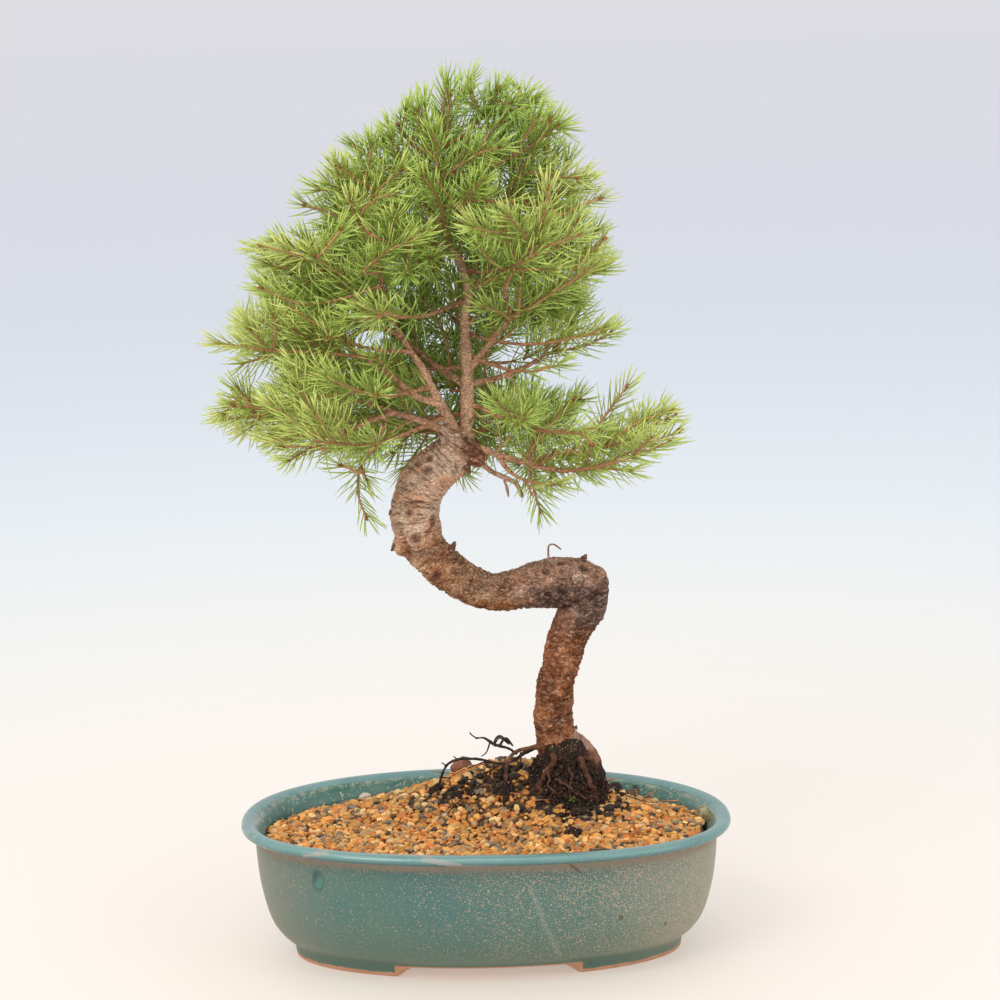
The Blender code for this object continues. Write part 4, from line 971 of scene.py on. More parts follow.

# Limbs given one by one: radius at the start, share of the length that is bare wood, route
LIMBS = {
    "leader_main": (4.4, 0.88, [
        (-6, 11, 284), (-5, 11, 297), (-5, 11, 310), (-4, 10, 321), (-5, 8, 341), (-4, 8, 362), (-2, 9, 371),
        (-6, 10, 381), (-12, 10, 392), (-17, 9, 401), (-18, 7, 421), (-17, 6, 440), (-15, 6, 455), (-12, 5, 476)]),
    "leader_left": (4.0, 0.62, [
        (-10, 10, 284), (-14, 6, 295), (-19, -2, 307), (-24, -8, 319), (-29, -12, 330), (-39, -16, 347),
        (-46, -20, 366), (-50, -24, 386), (-52, -26, 402)]),
    "low_left": (2.6, 0.45, [
        (-9, 9, 286), (-18, 5, 292), (-30, 0, 299), (-44, -5, 304), (-64, -10, 312), (-78, -12, 313), (-94, -14, 308),
        (-110, -15, 306), (-137, -15, 304)]),
    "low_left_fork": (1.7, 0.35, [
        (-44, -5, 304), (-54, -13, 302), (-67, -25, 298), (-82, -38, 294), (-97, -50, 287)]),
    "hanging": (1.6, 0.45, [(-47, -6, 305), (-52, -10, 292), (-60, -18, 281), (-64, -22, 271), (-61, -25, 258)]),
    "front_left": (2.2, 0.42, [
        (-20, -3, 308), (-32, -12, 314), (-42, -20, 324), (-53, -26, 333), (-65, -30, 341), (-86, -34, 341),
        (-107, -36, 343), (-132, -36, 347)]),
    "back_left": (2.2, 0.45, [
        (-5, 10, 316), (-19, 20, 324), (-33, 28, 334), (-39, 30, 341), (-49, 32, 355), (-63, 32, 366), (-84, 30, 383),
        (-102, 28, 389), (-120, 27, 391)]),
    "low_right": (2.4, 0.45, [
        (-8, 9, 283), (0, 8, 282), (12, 4, 278), (26, 0, 275), (45, -4, 280), (66, -8, 282), (84, -10, 290),
        (106, -10, 300)]),
    "low_right_fork": (1.7, 0.32, [(26, 0, 275), (44, -15, 272), (65, -28, 276), (86, -38, 284), (104, -42, 292)]),
    "low_tuft": (1.4, 0.4, [(11, 4, 278), (18, -5, 270), (28, -13, 266), (42, -18, 265)]),
    "riser_right": (1.5, 0.4, [(27, 0, 275), (34, 12, 288), (50, 22, 302), (74, 28, 319)]),
    "mid_right": (2.1, 0.48, [
        (-4, 10, 316), (13, 16, 319), (30, 22, 325), (40, 26, 332), (54, 28, 334), (76, 30, 339)]),
    "high_right": (2.1, 0.5, [
        (-5, 9, 322), (8, 2, 339), (19, -6, 353), (30, -10, 361), (46, -14, 371), (73, -16, 381)]),
    "high_right_fork": (1.5, 0.4, [(20, -6, 354), (17, -20, 370), (25, -32, 387), (33, -38, 398), (38, -42, 410)]),
    "dead_end": (1.6, 1.0, [(-4, 9, 280), (6, 6, 270), (15, 1, 266), (21, -2, 263), (24, -4, 256)]),
    "dead_stub": (1.4, 1.0, [(38, 19, 214), (38, 19, 224), (41, 19, 225), (45, 19, 222)]),
    "short_twig": (1.4, 1.0, [(-5, 11, 303), (2, 7, 299), (8, 3, 296)]),
}

# Limbs set out by the crown's envelope: leader, height of the start, azimuth in degrees, height of the end
CROWN = [
    ("leader_main", 292, 62, 296), ("leader_main", 296, 118, 290), ("leader_main", 300, 152, 306),
    ("leader_main", 306, 318, 300), ("leader_left", 300, 236, 300), ("leader_main", 316, 88, 320),
    ("leader_main", 326, 132, 336), ("leader_main", 330, 48, 334), ("leader_left", 318, 242, 332),
    ("leader_main", 332, 318, 336), ("leader_main", 344, 340, 350), ("leader_main", 350, 90, 364),
    ("leader_left", 338, 224, 366), ("leader_main", 362, 250, 368), ("leader_left", 349, 156, 376),
    ("leader_main", 372, 20, 396), ("leader_main", 378, 310, 398), ("leader_main", 386, 92, 402),
    ("leader_left", 345, 196, 408), ("leader_main", 394, 246, 404), ("leader_main", 400, 140, 420),
    ("leader_main", 404, 356, 426), ("leader_main", 408, 48, 428), ("leader_main", 414, 285, 430),
    ("leader_main", 420, 205, 436), ("leader_main", 425, 105, 445), ("leader_main", 430, 345, 454),
    ("leader_main", 434, 165, 448), ("leader_main", 440, 195, 466), ("leader_main", 444, 50, 474),
]
# Half width and middle of the crown by height, as seen from the front
CROWN_HEIGHTS = (262, 285, 303, 345, 370, 393, 412, 425, 446, 470, 484)
CROWN_HALF_WIDTHS = (70, 110, 129, 113, 103, 102, 86, 78, 70, 44, 20)
CROWN_MIDDLES = (-16, -16, -16, -26, -24, -20, -14, -10, -8, -2, -6)
CROWN_DEPTH_SHARE = 0.74
CROWN_INSET = 8.5
LIMB_RADIUS = 1.9
LIMB_BARE_SHARE = 0.42
LIMB_SAG = 7.0
TWIG_END_RADIUS = 1.1
LIMB_STEP = 17.0
LIMB_FINE_STEP = 2.0
STEM_STEP = 9.0


def step_lengths(route):
    """The length of each step along a route."""
    return np.linalg.norm(np.diff(route[:, :3], axis=0), axis=1)


def smooth_route(points, step):
    """Evenly spaced points on a Catmull-Rom curve through the given ones; every column is carried along."""
    p = np.asarray(points, float)
    p = np.vstack([2 * p[0] - p[1], p, 2 * p[-1] - p[-2]])
    fine = []
    t = np.linspace(0, 1, 12, endpoint=False)[:, None]
    for a, b, c, d in zip(p[:-3], p[1:-2], p[2:-1], p[3:]):
        fine.append(0.5 * (2 * b + (c - a) * t + (2 * a - 5 * b + 4 * c - d) * t ** 2
                           + (3 * b - a - 3 * c + d) * t ** 3))
    fine = np.vstack(fine + [p[-2][None]])
    length = np.append(0, np.cumsum(step_lengths(fine)))
    count = max(2, int(round(length[-1] / step)) + 1)
    stations = np.linspace(0, length[-1], count)
    return np.stack([np.interp(stations, length, column) for column in fine.T], axis=1)


def envelope_point(height, azimuth):
    """A place inside the crown's envelope at a height, in a direction seen from above."""
    middle = np.interp(height, CROWN_HEIGHTS, CROWN_MIDDLES)
    half = np.interp(height, CROWN_HEIGHTS, CROWN_HALF_WIDTHS) - CROWN_INSET
    return np.array([middle + half * math.cos(azimuth), CROWN_DEPTH_SHARE * half * math.sin(azimuth), height])


def crown_limb(leader, start_height, azimuth, end_height):
    """Route of a limb from its leader out to the envelope, sagging a little between."""
    route = np.array(LIMBS[leader][2], float)
    start = np.array([np.interp(start_height, route[:, 2], column) for column in route.T])
    end = envelope_point(end_height, azimuth)
    share = np.linspace(0, 1, 5)[:, None]
    side = unit(np.cross(end - start, (0, 0, 1)))
    points = start + (end - start) * share
    points[:, 2] -= LIMB_SAG * np.sin(share[:, 0] * math.pi)
    points += 2.5 * np.sin(share * 2 * math.pi + azimuth * 3) * side
    return points


def all_limbs():
    """Name, radius at the start, bare share and route of every limb, those set out by the envelope last."""
    rows = [(name, *row) for name, row in LIMBS.items()]
    for number, (leader, start, azimuth, end) in enumerate(CROWN, 1):
        route = crown_limb(leader, start, math.radians(azimuth), end)
        radius = LIMB_RADIUS - 0.45 * (start - CROWN[0][1]) / (CROWN[-1][1] - CROWN[0][1])
        rows.append((f"crown_{number:02d}", radius, LIMB_BARE_SHARE, route))
    return rows


def split_limb(radius, bare_share, route):
    """The bare wood with its radii, and the rest of the route that carries needles."""
    fine = smooth_route(route, LIMB_FINE_STEP)
    last = max(2, int(round(bare_share * (len(fine) - 1))))
    wood = fine[: last + 1]
    radii = radius + (TWIG_END_RADIUS - radius) * np.linspace(0, 1, len(wood)) ** 0.8
    return np.column_stack([wood, radii]), fine[last:]


limbs = [(name, *split_limb(radius, share, route), share) for name, radius, share, route in all_limbs()]
print(len(limbs), "limbs")

# %% [markdown]
# ## Carrying a ring along a path
# A stem is a ring of points carried along its route. The ring must not spin on the way. One fixed direction, the
# one in which the route is flattest, is never along the path, so the ring is built on it at every station.

# %% Swept rings
def sweep(route, columns):
    """Centres, outward directions and radii on a grid: stations along the route, columns round it."""
    centres = route[:, :3]
    tangent = unit(np.gradient(centres, axis=0))
    flattest = np.linalg.svd(centres - centres.mean(axis=0), full_matrices=True)[2][2]
    side = unit(flattest - (tangent @ flattest)[:, None] * tangent)
    over = np.cross(tangent, side)
    angle = np.arange(columns) * 2 * math.pi / columns
    out = np.cos(angle)[None, :, None] * side[:, None] + np.sin(angle)[None, :, None] * over[:, None]
    radius = route[:, 3][:, None] * np.ones(columns)
    return centres[:, None] * np.ones((1, columns, 1)), out, radius


def rod(route, columns, noises=(), end=1.0):
    """A closed rod, and the lattice noises that vary its radius, each given as weight, size, seed and octaves.

    The radius is multiplied by one plus the weighted noises, and that of the last ring by the end as well.
    """
    centres, out, radius = sweep(route, columns)
    smooth = centres + out * radius[..., None]
    fields = [lattice_noise(smooth, *settings) for _, *settings in noises]
    radius = radius * (1 + sum(noise[0] * field for noise, field in zip(noises, fields)))
    radius[-1] *= end
    return closed_grid(centres + out * radius[..., None]), fields


def add_rod(gather, route, columns, rough, tone, seed, size=1.6):
    """A rod with one noise on it and a rounded end."""
    gather.add(*rod(route, columns, [(rough, size, seed, 2)], 0.45)[0], tone)


print("a rod of 9 sides over 3 stations has", len(rod(np.array([(0, 0, 0, 1), (0, 0, 1, 1), (0, 1, 2, 1)]), 9)[0][0]),
      "points")

# %% [markdown]
# ## Bark on the stem
# The stem is bare, so its bark makes the tree look old. It has plates with dark cracks, fine wrinkles across the
# upper bend where the wood was bent, and burrs with knots where branches were cut. The plates are cell noise on
# the surface itself, which closes round the stem without a seam. The burrs of the plain model are ellipsoids:
# where a ray from the middle of the stem leaves one further out than the bark, the bark follows it.

# %% The stem
# Knots: place and size; creases: two ends; stubs: foot, tip and radius
KNOTS = [
    (-27, -5, 273, 2.0), (-27, -2, 279, 2.0), (-38, -5, 249, 2.9), (-23, -2, 244, 2.6), (-34, -2, 235, 2.0),
    (-46, 4, 230, 2.2), (-14, 1, 215, 3.2), (-26, 4, 210, 2.6), (36, 9, 213, 2.4), (44, 10, 218, 2.0),
    (-1, 0, 280, 2.6), (-6, 2, 287, 2.4), (58, 12, 214, 3.0), (66, 14, 199, 2.6), (-4, 5, 198, 2.0),
    (-23, 3, 214, 1.6)]
CREASES = [
    ((-39, -5, 255), (-30, -5, 255)), ((-43, -2, 238), (-28, -3, 238)), ((-28, -3, 238), (-23, -1, 244)),
    ((-37, 1, 227), (-29, 1, 226)), ((-29, 3, 214), (-16, 3, 218)), ((-41, -3, 267), (-34, -4, 264)),
    ((-43, 0, 263), (-38, -3, 261)), ((60, 12, 208), (70, 16, 205)), ((57, 10, 201), (68, 14, 204)),
    ((44, 9, 196), (66, 12, 191)), ((-8, 1, 289), (-2, 1, 284)), ((-4, 1, 284), (0, 2, 278)),
]
STUBS = [
    ((-16, 4, 226), (-13, 4, 231), 2.2), ((-6, 4, 273), (-4, 4, 268), 2.0), ((-47, 6, 248), (-49, 6, 246), 1.6),
    ((66, 18, 205), (70, 18, 206), 1.8), ((57, 20, 216), (59, 20, 219), 1.8), ((-46, 5, 227), (-47, 5, 230), 2.4),
    ((-3, 2, 281), (2, 1, 280), 3.0), ((51, 20, 121), (52, 20, 119), 1.2)]


def push_to_burrs(centres, out, radius):
    """The far root of the quadratic where each ray leaves an ellipsoid, where it has one, if it is further out."""
    for middle, half in BURRS:
        half = np.array(half, float)
        start = (centres - middle) / half
        along = out / half
        a, b, c = (along ** 2).sum(-1), (start * along).sum(-1), (start ** 2).sum(-1) - 1
        inside = b * b - a * c
        far = (-b + np.sqrt(np.maximum(inside, 0))) / a
        near = np.linalg.norm(centres - middle, axis=-1) < radius + half.max()
        far = np.where((inside > 0) & near, np.minimum(far, radius + 9.0), 0)
        radius = np.where(far > radius - 1.5, np.maximum(radius, far - 0.2) + 0.25, radius)
    return radius


def bark_relief(skin, along, roughness):
    """Height of the bark in millimetres and how deep in a crack each point lies."""
    warp = np.stack([lattice_noise(skin, 6.0, 60 + k, 2) for k in range(3)], axis=-1)
    flat = skin * (1, 1, 1.7) + 1.6 * warp
    nearest, second = cell_noise(flat, 3.6, 71)
    crack = (1 - rise(second - nearest, 0.03, 0.26)) * rise(lattice_noise(skin, 6.0, 66), -0.3, 0.3)
    nearest, second = cell_noise(flat, 1.9, 75)
    small_crack = (1 - rise(second - nearest, 0.02, 0.28)) * (1 - 0.8 * rise(along, 225, 255))
    across = np.stack([along, 0.09 * (skin[..., 0] + skin[..., 1]), 0.09 * skin[..., 2]], axis=-1)
    fold = lattice_noise(across + 0.25 * warp, 1.5, 67, 2)
    crease = (1 - rise(np.abs(fold), 0.0, 0.14)) * rise(lattice_noise(skin, 5.0, 68), -0.45, 0.15)
    crease *= np.maximum(rise(along, 190, 225), 0.75 - 0.45 * rise(along, 95, 125))
    wave = (along + 2.0 * lattice_noise(skin, 7.0, 69)) / 3.3
    ring = (1 - rise(np.abs(wave % 1 - 0.5), 0.0, 0.13)) * rise(lattice_noise(skin, 4.5, 70), -0.35, 0.15)
    crease = np.maximum(crease, ring * rise(along, 222, 240))
    height = 0.8 * lattice_noise(skin, 9.0, 61) + 0.9 * roughness * lattice_noise(skin, 2.4, 62, 2)
    height = height - crack * 0.95 * roughness - small_crack * 0.4 * roughness - 0.6 * crease + 0.35 * np.abs(fold)
    deep = np.maximum(0.9 * crack, 0.6 * small_crack) * (0.2 + 0.8 * roughness)
    return height, np.clip(np.maximum(0.9 * deep, 0.9 * crease), 0, 1)


def away_from_line(points, start, end):
    """Distance of points from the piece of line between two places."""
    start, along = np.array(start, float), np.subtract(end, start).astype(float)
    share = np.clip((points - start) @ along / (along @ along), 0, 1)
    return np.linalg.norm(points - start - share[..., None] * along, axis=-1)


def add_knots(skin, height, deep):
    """A raised ring with a dark hollow at each knot and a groove along each crease: bell curves of the distance."""
    for x, y, z, size in KNOTS:
        away = np.linalg.norm(skin - (x, y, z), axis=-1)
        on_skin = away - away.min()
        ring = np.exp(-((on_skin - size) / (0.3 * size)) ** 2)
        pit = np.exp(-(on_skin / (0.6 * size)) ** 2)
        height = height + 0.7 * ring - 0.9 * pit
        deep = np.maximum(deep * (1 - 0.7 * ring), 0.9 * pit)
    for start, end in CREASES:
        away = away_from_line(skin, start, end)
        groove = np.exp(-((away - away.min()) / 0.75) ** 2)
        height = height - 0.9 * groove
        deep = np.maximum(deep, 0.95 * groove)
    return height, deep


def bark_tone(skin, out, along, deep, height):
    """Pinkish tan on the upper bend, ochre below it, orange brown on the lower stem, and painted shade on the
    undersides:
    darker orange brown under the middle, grey brown under the elbow and on its right side.
    """
    patch = lattice_noise(skin, 8.0, 81, 3)
    flake = lattice_noise(skin, 1.8, 84, 2)
    down = -out[..., 2]

    def mottled(dark, light, high=0.3):
        return blend(rise(patch, -0.3, high), tint(*dark), tint(*light))

    upper, ochre = mottled((250, 200, 164), (255, 228, 200), 0.4), mottled((188, 130, 84), (240, 196, 150), 0.4)
    middle, under = mottled((210, 158, 120), (250, 214, 184)), mottled((150, 92, 50), (214, 146, 84))
    # Painted shade: the middle stem turns to the darker orange brown under on its downward side.
    middle = blend(rise(down, -0.15, 0.55), middle, under)
    elbow, lower = mottled((222, 170, 140), (252, 214, 188)), mottled((178, 108, 62), (236, 160, 104))
    # Painted shade: grey brown on the side turned down and to the right, away from the light, under the elbow.
    grey = blend(rise(patch + 0.5 * flake, -0.4, 0.3), tint(92, 70, 62), tint(164, 136, 122))
    elbow = blend(rise(down + 0.25 * patch + 0.35 * out[..., 0], -0.28, 0.12), elbow, grey)
    tone = blend(rise(along + 6 * patch, 122, 138), lower, elbow)
    tone = blend(rise(along + 8 * patch, 178, 196), tone, middle)
    tone = blend(rise(along + 6 * patch, 200, 220), tone, ochre)
    tone = blend(rise(along + 8 * patch, 242, 268), tone, upper)
    scar = rise(along, 304, 316) * rise(out[..., 0] + 0.8 * patch, -0.5, 0.5)
    tone = blend(0.85 * scar, tone, tint(176, 120, 92))
    # Painted light and shade: raised bark is made lighter and sunken bark darker, by the relief height.
    tone = tone * (0.8 + 0.26 * rise(along, 240, 266) + 0.3 * flake + 0.3 * np.clip(height, -0.6, 0.6))[..., None]
    tone = tone / np.maximum(tone.max(axis=-1, keepdims=True), 1.0)
    dark = blend(rise(along, 200, 240), tint(70, 43, 32), tint(104, 60, 42))
    return np.clip(blend(0.9 * deep, tone, dark), 0.0, 1.0)


def bark_finish(name, dark, light, relief, plates=0.0):
    """The painted tone with fine grain and a dry rough surface, and thin cracks between small flat plates where plates
    is given.
    """
    f = Finish(name, Roughness=0.85, Specular_IOR_Level=0.3)
    grain = f.noise(1300.0, 4.0, 0.7)
    fibre = f.noise(520.0, 4.0, 0.65, 0.8)
    colour = f.mix(f.step(grain, 0.55, 0.36) * 0.5, f.painted("tone"), dark, "MULTIPLY")
    colour = f.mix(f.step(fibre, 0.58, 0.72) * 0.3, colour, light)
    height = grain * 0.4 + fibre * 0.4
    if plates:
        shift = f.node("TexNoise", None, {"Scale": 190.0, "Detail": 2.0, "Vector": f.place()}).outputs["Color"]
        where = f.node("VectorMath", {"operation": "MULTIPLY_ADD"},
                       {0: shift, 1: (0.005, 0.005, 0.008), 2: f.place((1.0, 1.0, 1.9))}).outputs[0]
        edge, fine = f.cells(420.0, where), f.cells(1050.0, where)
        own = f.cells(420.0, where, "F1", "Color")
        colour = f.mix(f.step(own, 0.45, 0.8) * plates * 0.5, colour, light)
        colour = f.mix(f.step(own, 0.5, 0.2) * plates * 0.5, colour, dark, "MULTIPLY")
        colour = f.mix(f.step(fine, 0.1, 0.02) * plates * 0.5, colour, dark, "MULTIPLY")
        colour = f.mix(f.step(edge, 0.11, 0.02) * f.step(fibre, 0.38, 0.52) * plates, colour, dark, "MULTIPLY")
        height = height + f.step(edge, 0.0, 0.14) * 0.6
    return f.wear(Base_Color=colour, Normal=f.relief(height, relief, 0.9))


stem_finish = bark_finish("stem_bark", tint(212, 164, 132), tint(255, 218, 186), 0.0011, 0.4)
stem_route = smooth_route(STEM, 0.6)
centres, out, radius = sweep(stem_route, 100)
along = np.linspace(0, 1, len(stem_route))[:, None] * step_lengths(stem_route).sum() * np.ones_like(radius)
radius = push_to_burrs(centres, out, radius)
skin = centres + out * radius[..., None]
roughness = 1.0 - 0.5 * rise(along, 225, 262) - 0.2 * rise(along, 105, 60) + 0.8 * rise(along, 298, 312)
height, deep = bark_relief(skin, along, roughness)
height, deep = add_knots(skin, height, deep)
skin = skin + out * height[..., None]
tones = bark_tone(skin, out, along, deep, height)
stem_gather = Gather()
stem_gather.add(*closed_grid(skin), np.vstack([tones.reshape(-1, 3), tones[0, 0], tones[-1, 0]]))
for number, (foot, tip, size) in enumerate(STUBS):
    foot, tip = np.array(foot, float), np.array(tip, float)
    line = np.column_stack([np.stack([foot, 0.5 * (foot + tip), tip]), [size, 0.75 * size, 0.3 * size]])
    add_rod(stem_gather, smooth_route(line, 0.6), 14, 0.35, tint(120, 82, 62), 160 + number, 1.2)
make_piece("stem_bark", stem_gather, stem_finish, ["wood"])
print("stem length along its middle", round(float(along.max())), "mm")

# %% [markdown]
# ## Roots
# Brown roots leave the foot of the stem and dive into the peat, and thinner dark ones arch over the gravel. They
# are swept rods with noise on the radius. The finest are hair roots that wander down the ball.

# %% Thick and thin roots
ROOT_TONES = {"arch": tint(116, 78, 58), "right": tint(128, 86, 64), "back": tint(100, 72, 58),
              "hair": tint(58, 44, 38), "runner": tint(58, 43, 37), "nub": tint(138, 92, 70)}
# Brown roots on the front of the ball: direction and height where each starts and ends, and its radius
BALL_ROOTS = [(-116, 107, -146, 74, 1.7), (-62, 105, -34, 72, 1.9), (-104, 94, -60, 82, 0.9), (-126, 99, -98, 76, 0.8),
              (-80, 100, -88, 74, 0.7)]
TWIGLETS = [
    [(-4, 14, 117, 0.45), (-7, 14, 119, 0.4), (-8, 13, 121, 0.3)],
    [(3, 14, 114, 0.5), (1, 13, 109, 0.4), (-2, 12, 107, 0.3)],
    [(8, 14, 112, 0.8), (12, 13, 117, 0.7), (16, 14, 112, 0.6)],
    [(5, 14, 113, 0.7), (8, 14, 117.5, 1.1), (11, 14, 116, 0.9), (14, 14, 113, 0.6)],
    [(20, 12, 109, 0.6), (20, 11, 104, 0.45), (18, 11, 100, 0.35)],
    [(-16, 29, 101, 0.4), (-17, 28, 102.5, 0.3), (-18, 28, 103, 0.2)],
    [(-22, 33, 96, 0.4), (-24, 32, 98, 0.3), (-25, 31, 98.5, 0.2)],
    [(-26, 35, 89, 0.5), (-21, 36, 88, 0.45), (-17, 38, 87, 0.3)],
    [(0, 23, 101, 0.5), (2, 22, 98, 0.35), (3, 21, 95, 0.25)],
]
ROOT_THICKNESS = {"hair": 0.62, "runner": 0.78, "arch": 0.9, "nub": 1.15}
# Heights between which a root goes over into the colour of the soil
SOIL_LINES = {"right": (106, 96), "arch": (104, 92), "back": (104, 92)}
root_gather = Gather()
for number, (name, places) in enumerate(ROOTS.items()):
    route = smooth_route(places, 0.8)
    columns, noise = (26, (0.22, 3.0)) if route[:, 3].max() > 2.0 else (10, (0.45, 1.4))
    route[:, 3] *= ROOT_THICKNESS.get(name, 1.0)
    if name == "nub":
        route[:, 2] += 4.5 * rise(route[:, 2], 72, 84)
        route[:, 3] *= 1 + 0.25 * np.sin(np.linspace(0, 9, len(route)))
    (points, *faces), (rough,) = rod(route, columns, [(*noise, 90 + number, 3)], 0.5)
    rough = np.append(rough, [0, 0])
    skin_tone = np.array(ROOT_TONES[name])
    if name in SOIL_LINES:
        skin_tone = blend(rise(points[:, 2] + 9 * rough, *SOIL_LINES[name]), skin_tone, tint(52, 36, 30))
    if name == "right":
        pale = rise(points[:, 2] + 6 * rough, 107, 110) * rise(points[:, 0], 46, 50)
        skin_tone = blend(0.3 * pale, skin_tone, tint(222, 190, 166))
    # Painted light and shade: a root is lighter where its radius swells and darker where it sinks.
    root_gather.add(points, *faces, np.clip(skin_tone * (1 + 0.9 * rough)[:, None], 0, 1))
for number, points in enumerate(TWIGLETS):
    add_rod(root_gather, smooth_route(points, 0.9), 7, 0.25, tint(64, 50, 44), 120 + number)

# %% Roots down the ball, hair roots on it and loose ones on the gravel
HAIR_ROOTS = 46
LOOSE_ROOTS = 30
LOOSE_ROOT_SPOTS = [(-14, 22), (10, 28), (52, 4), (-2, 4), (70, 34), (30, 6)]
draw = np.random.default_rng(59)
for number, (start, high, end, low, size) in enumerate(BALL_ROOTS):
    turn = np.radians(np.linspace(start, end, 14)) + 0.05 * draw.normal(size=14)
    line = beside_ball(turn, np.linspace(high, low, 14), 0.8 + draw.normal(0, 0.3, 14))
    line = np.column_stack([line, np.linspace(size, 0.6 * size, 14)])
    add_rod(root_gather, smooth_route(line, 0.8), 14, 0.4, tint(98, 64, 46), 170 + number)
draw = np.random.default_rng(53)
for number in range(HAIR_ROOTS):
    turn = draw.uniform(0, 2 * math.pi)
    height = np.linspace(draw.uniform(88, 104), draw.uniform(62, 76), 16)
    turn = turn + np.cumsum(draw.normal(0, 0.09, 16))
    line = beside_ball(turn, height, 1.0 + draw.uniform(-0.4, 1.6) + draw.normal(0, 0.35, 16))
    line = np.column_stack([line, np.linspace(draw.uniform(0.25, 0.5), 0.18, 16)])
    brown = np.array(tint(84, 56, 44)) * draw.uniform(0.3, 1.1)
    add_rod(root_gather, smooth_route(line, 1.8), 6, 0.2, brown, 140 + number)
for number in range(LOOSE_ROOTS):
    start = np.array(LOOSE_ROOT_SPOTS[number % 6]) + draw.normal(0, 6, 2)
    steps = np.cumsum(draw.normal(0, 1.0, (7, 2)) + draw.normal(0, 1.6, 2), axis=0)
    line = np.vstack([start, start + steps])
    line = np.column_stack([line, bed_height(line[:, 0], line[:, 1]) + 1.6 + draw.uniform(0, 1.0),
                            np.linspace(0.45, 0.2, 8)])
    add_rod(root_gather, smooth_route(line, 1.6), 6, 0.2, np.array(tint(66, 44, 36)) * draw.uniform(0.5, 1.3), 200)
bark = bark_finish("bark", tint(120, 84, 66), tint(240, 214, 190), 0.0007)
make_piece("roots", root_gather, bark, ["wood"])

# %% [markdown]
# ## Limbs
# The limbs are rods that taper from pinkish tan near the stem to orange brown twigs. Small pegs, left by fallen
# needles, make them rough: here a fine noise on the radius stands for them.

# %% The bare limbs
# Colours at the thin end and at the root, for bare wood and for limbs with needles
DEAD_TONES = (tint(196, 156, 130), tint(224, 184, 156))
LIVE_TONES = (tint(208, 152, 114), tint(240, 194, 158))
LIMB_THICKNESS = {"crown": 0.78, "short_twig": 0.7, "dead_stub": 0.45}
limb_gather = Gather()
for number, (name, wood, _, share) in enumerate(limbs):
    route = smooth_route(wood[:: len(wood) // 12] if len(wood) > 24 else wood, 1.1)
    columns = 16 if route[:, 3].max() > 3 else 9
    route[:, 3] *= LIMB_THICKNESS.get(name.rstrip("_0123456789"), 1.0)
    noises = [(0.22, 1.5, 300 + number, 2), (0.12, 7.0, 400 + number, 1)]
    parts, (rough, knobs) = rod(route, columns, noises, 0.6)
    tone = blend(rise(route[:, 3], 1.0, 2.6), *(DEAD_TONES if share == 1.0 else LIVE_TONES))
    # Painted light and shade: a limb is lighter where its radius bulges and darker where it dips.
    tone = tone[:, None] * (1 + 0.7 * rough + 0.25 * knobs)[..., None]
    tone = np.vstack([tone.reshape(-1, 3), tone[0, :1], tone[-1, :1]])
    limb_gather.add(*parts, np.clip(tone / np.maximum(tone.max(axis=1, keepdims=True), 1.0), 0, 1))
add_rod(limb_gather, smooth_route([(14, 1.5, 266, 0.9), (15.5, 1, 261, 0.8), (16.5, 0.5, 255.5, 0.6)], 1.0), 9, 0.4,
        tint(206, 164, 136), 460, 1.4)
limb_finish = bark_finish("limb_bark", tint(158, 114, 88), tint(246, 214, 184), 0.0009, 0.35)
make_piece("limbs", limb_gather, limb_finish, ["wood"])

# %% [markdown]
# ## Where the shoots lie
# In the plain model each spray is a main shoot with side shoots, turned a little until it keeps clear of the wood
# and of the sprays before it. The same search with the same seed finds the same places, so the fine needles grow
# where the plain ones do.

# %% The search for room
SHOOT_STEP = 4.2
SHOOT_RADIUS = 1.05
SHOOT_END_RADIUS = 0.55
CORE_GAP = 0.55
CORE_CLEARANCE = 1.6
CORE_TRIES = 60
TIP_NEEDLE = 8.0
SIDE_SHOOT_LENGTH = 27.0
SIDE_SHOOT_EVERY = 21.0
SIDE_SHOOT_ANGLE = math.radians(46)
SIDE_SHOOT_LIFT = np.array([0.0, 0.0, 0.12])
SIDE_SHOOT_FIRST_SHARE = 0.3
SIDE_SHOOT_LEAST_REST = 14.0
SIDE_SHOOT_TRIES = 14


def thin_out(route, step):
    """Fewer stations on a route, the ends kept."""
    count = max(2, int(round(len(route) * LIMB_FINE_STEP / step)) + 1)
    keep = np.unique(np.linspace(0, len(route) - 1, count).astype(int))
    return route[keep]


def turned(points, centre, axis, angle):
    """Points turned about an axis through a centre, by the right-hand rule."""
    axis = unit(axis)
    arm = np.asarray(points, float) - centre
    cosine, sine = math.cos(angle), math.sin(angle)
    parallel = (arm @ axis)[..., None] * axis
    return centre + arm * cosine + np.cross(axis, arm) * sine + parallel * (1 - cosine)


class Room:
    """The tapered rods placed so far, and whether a new one keeps clear of them."""

    def __init__(self):
        self.starts, self.ends = np.zeros((0, 3)), np.zeros((0, 3))
        self.radii, self.owners = np.zeros((0, 2)), np.zeros(0, int)

    def add_route(self, route, radii, owner):
        """A rod between each two neighbours on the route."""
        self.starts = np.vstack([self.starts, route[:-1, :3]])
        self.ends = np.vstack([self.ends, route[1:, :3]])
        self.radii = np.vstack([self.radii, np.stack([radii[:-1], radii[1:]], axis=1)])
        self.owners = np.concatenate([self.owners, np.full(len(route) - 1, owner)])

    def clear(self, points, radius, owner):
        """Every point is further from each rod of another owner than both radii and the clearance."""
        middle = points.mean(axis=0)
        reach = np.linalg.norm(points - middle, axis=1).max() + 22.0
        near = (self.owners != owner) & (np.linalg.norm(self.starts - middle, axis=1) < reach)
        starts, along, thick = self.starts[near], (self.ends - self.starts)[near], self.radii[near]
        arm = points[:, None] - starts
        share = np.clip((arm * along).sum(axis=-1) / (along ** 2).sum(axis=-1), 0, 1)
        distance = np.linalg.norm(share[..., None] * along - arm, axis=-1)
        body = thick[:, 0] + share * (thick[:, 1] - thick[:, 0])
        return not (distance < radius + body + CORE_CLEARANCE).any()


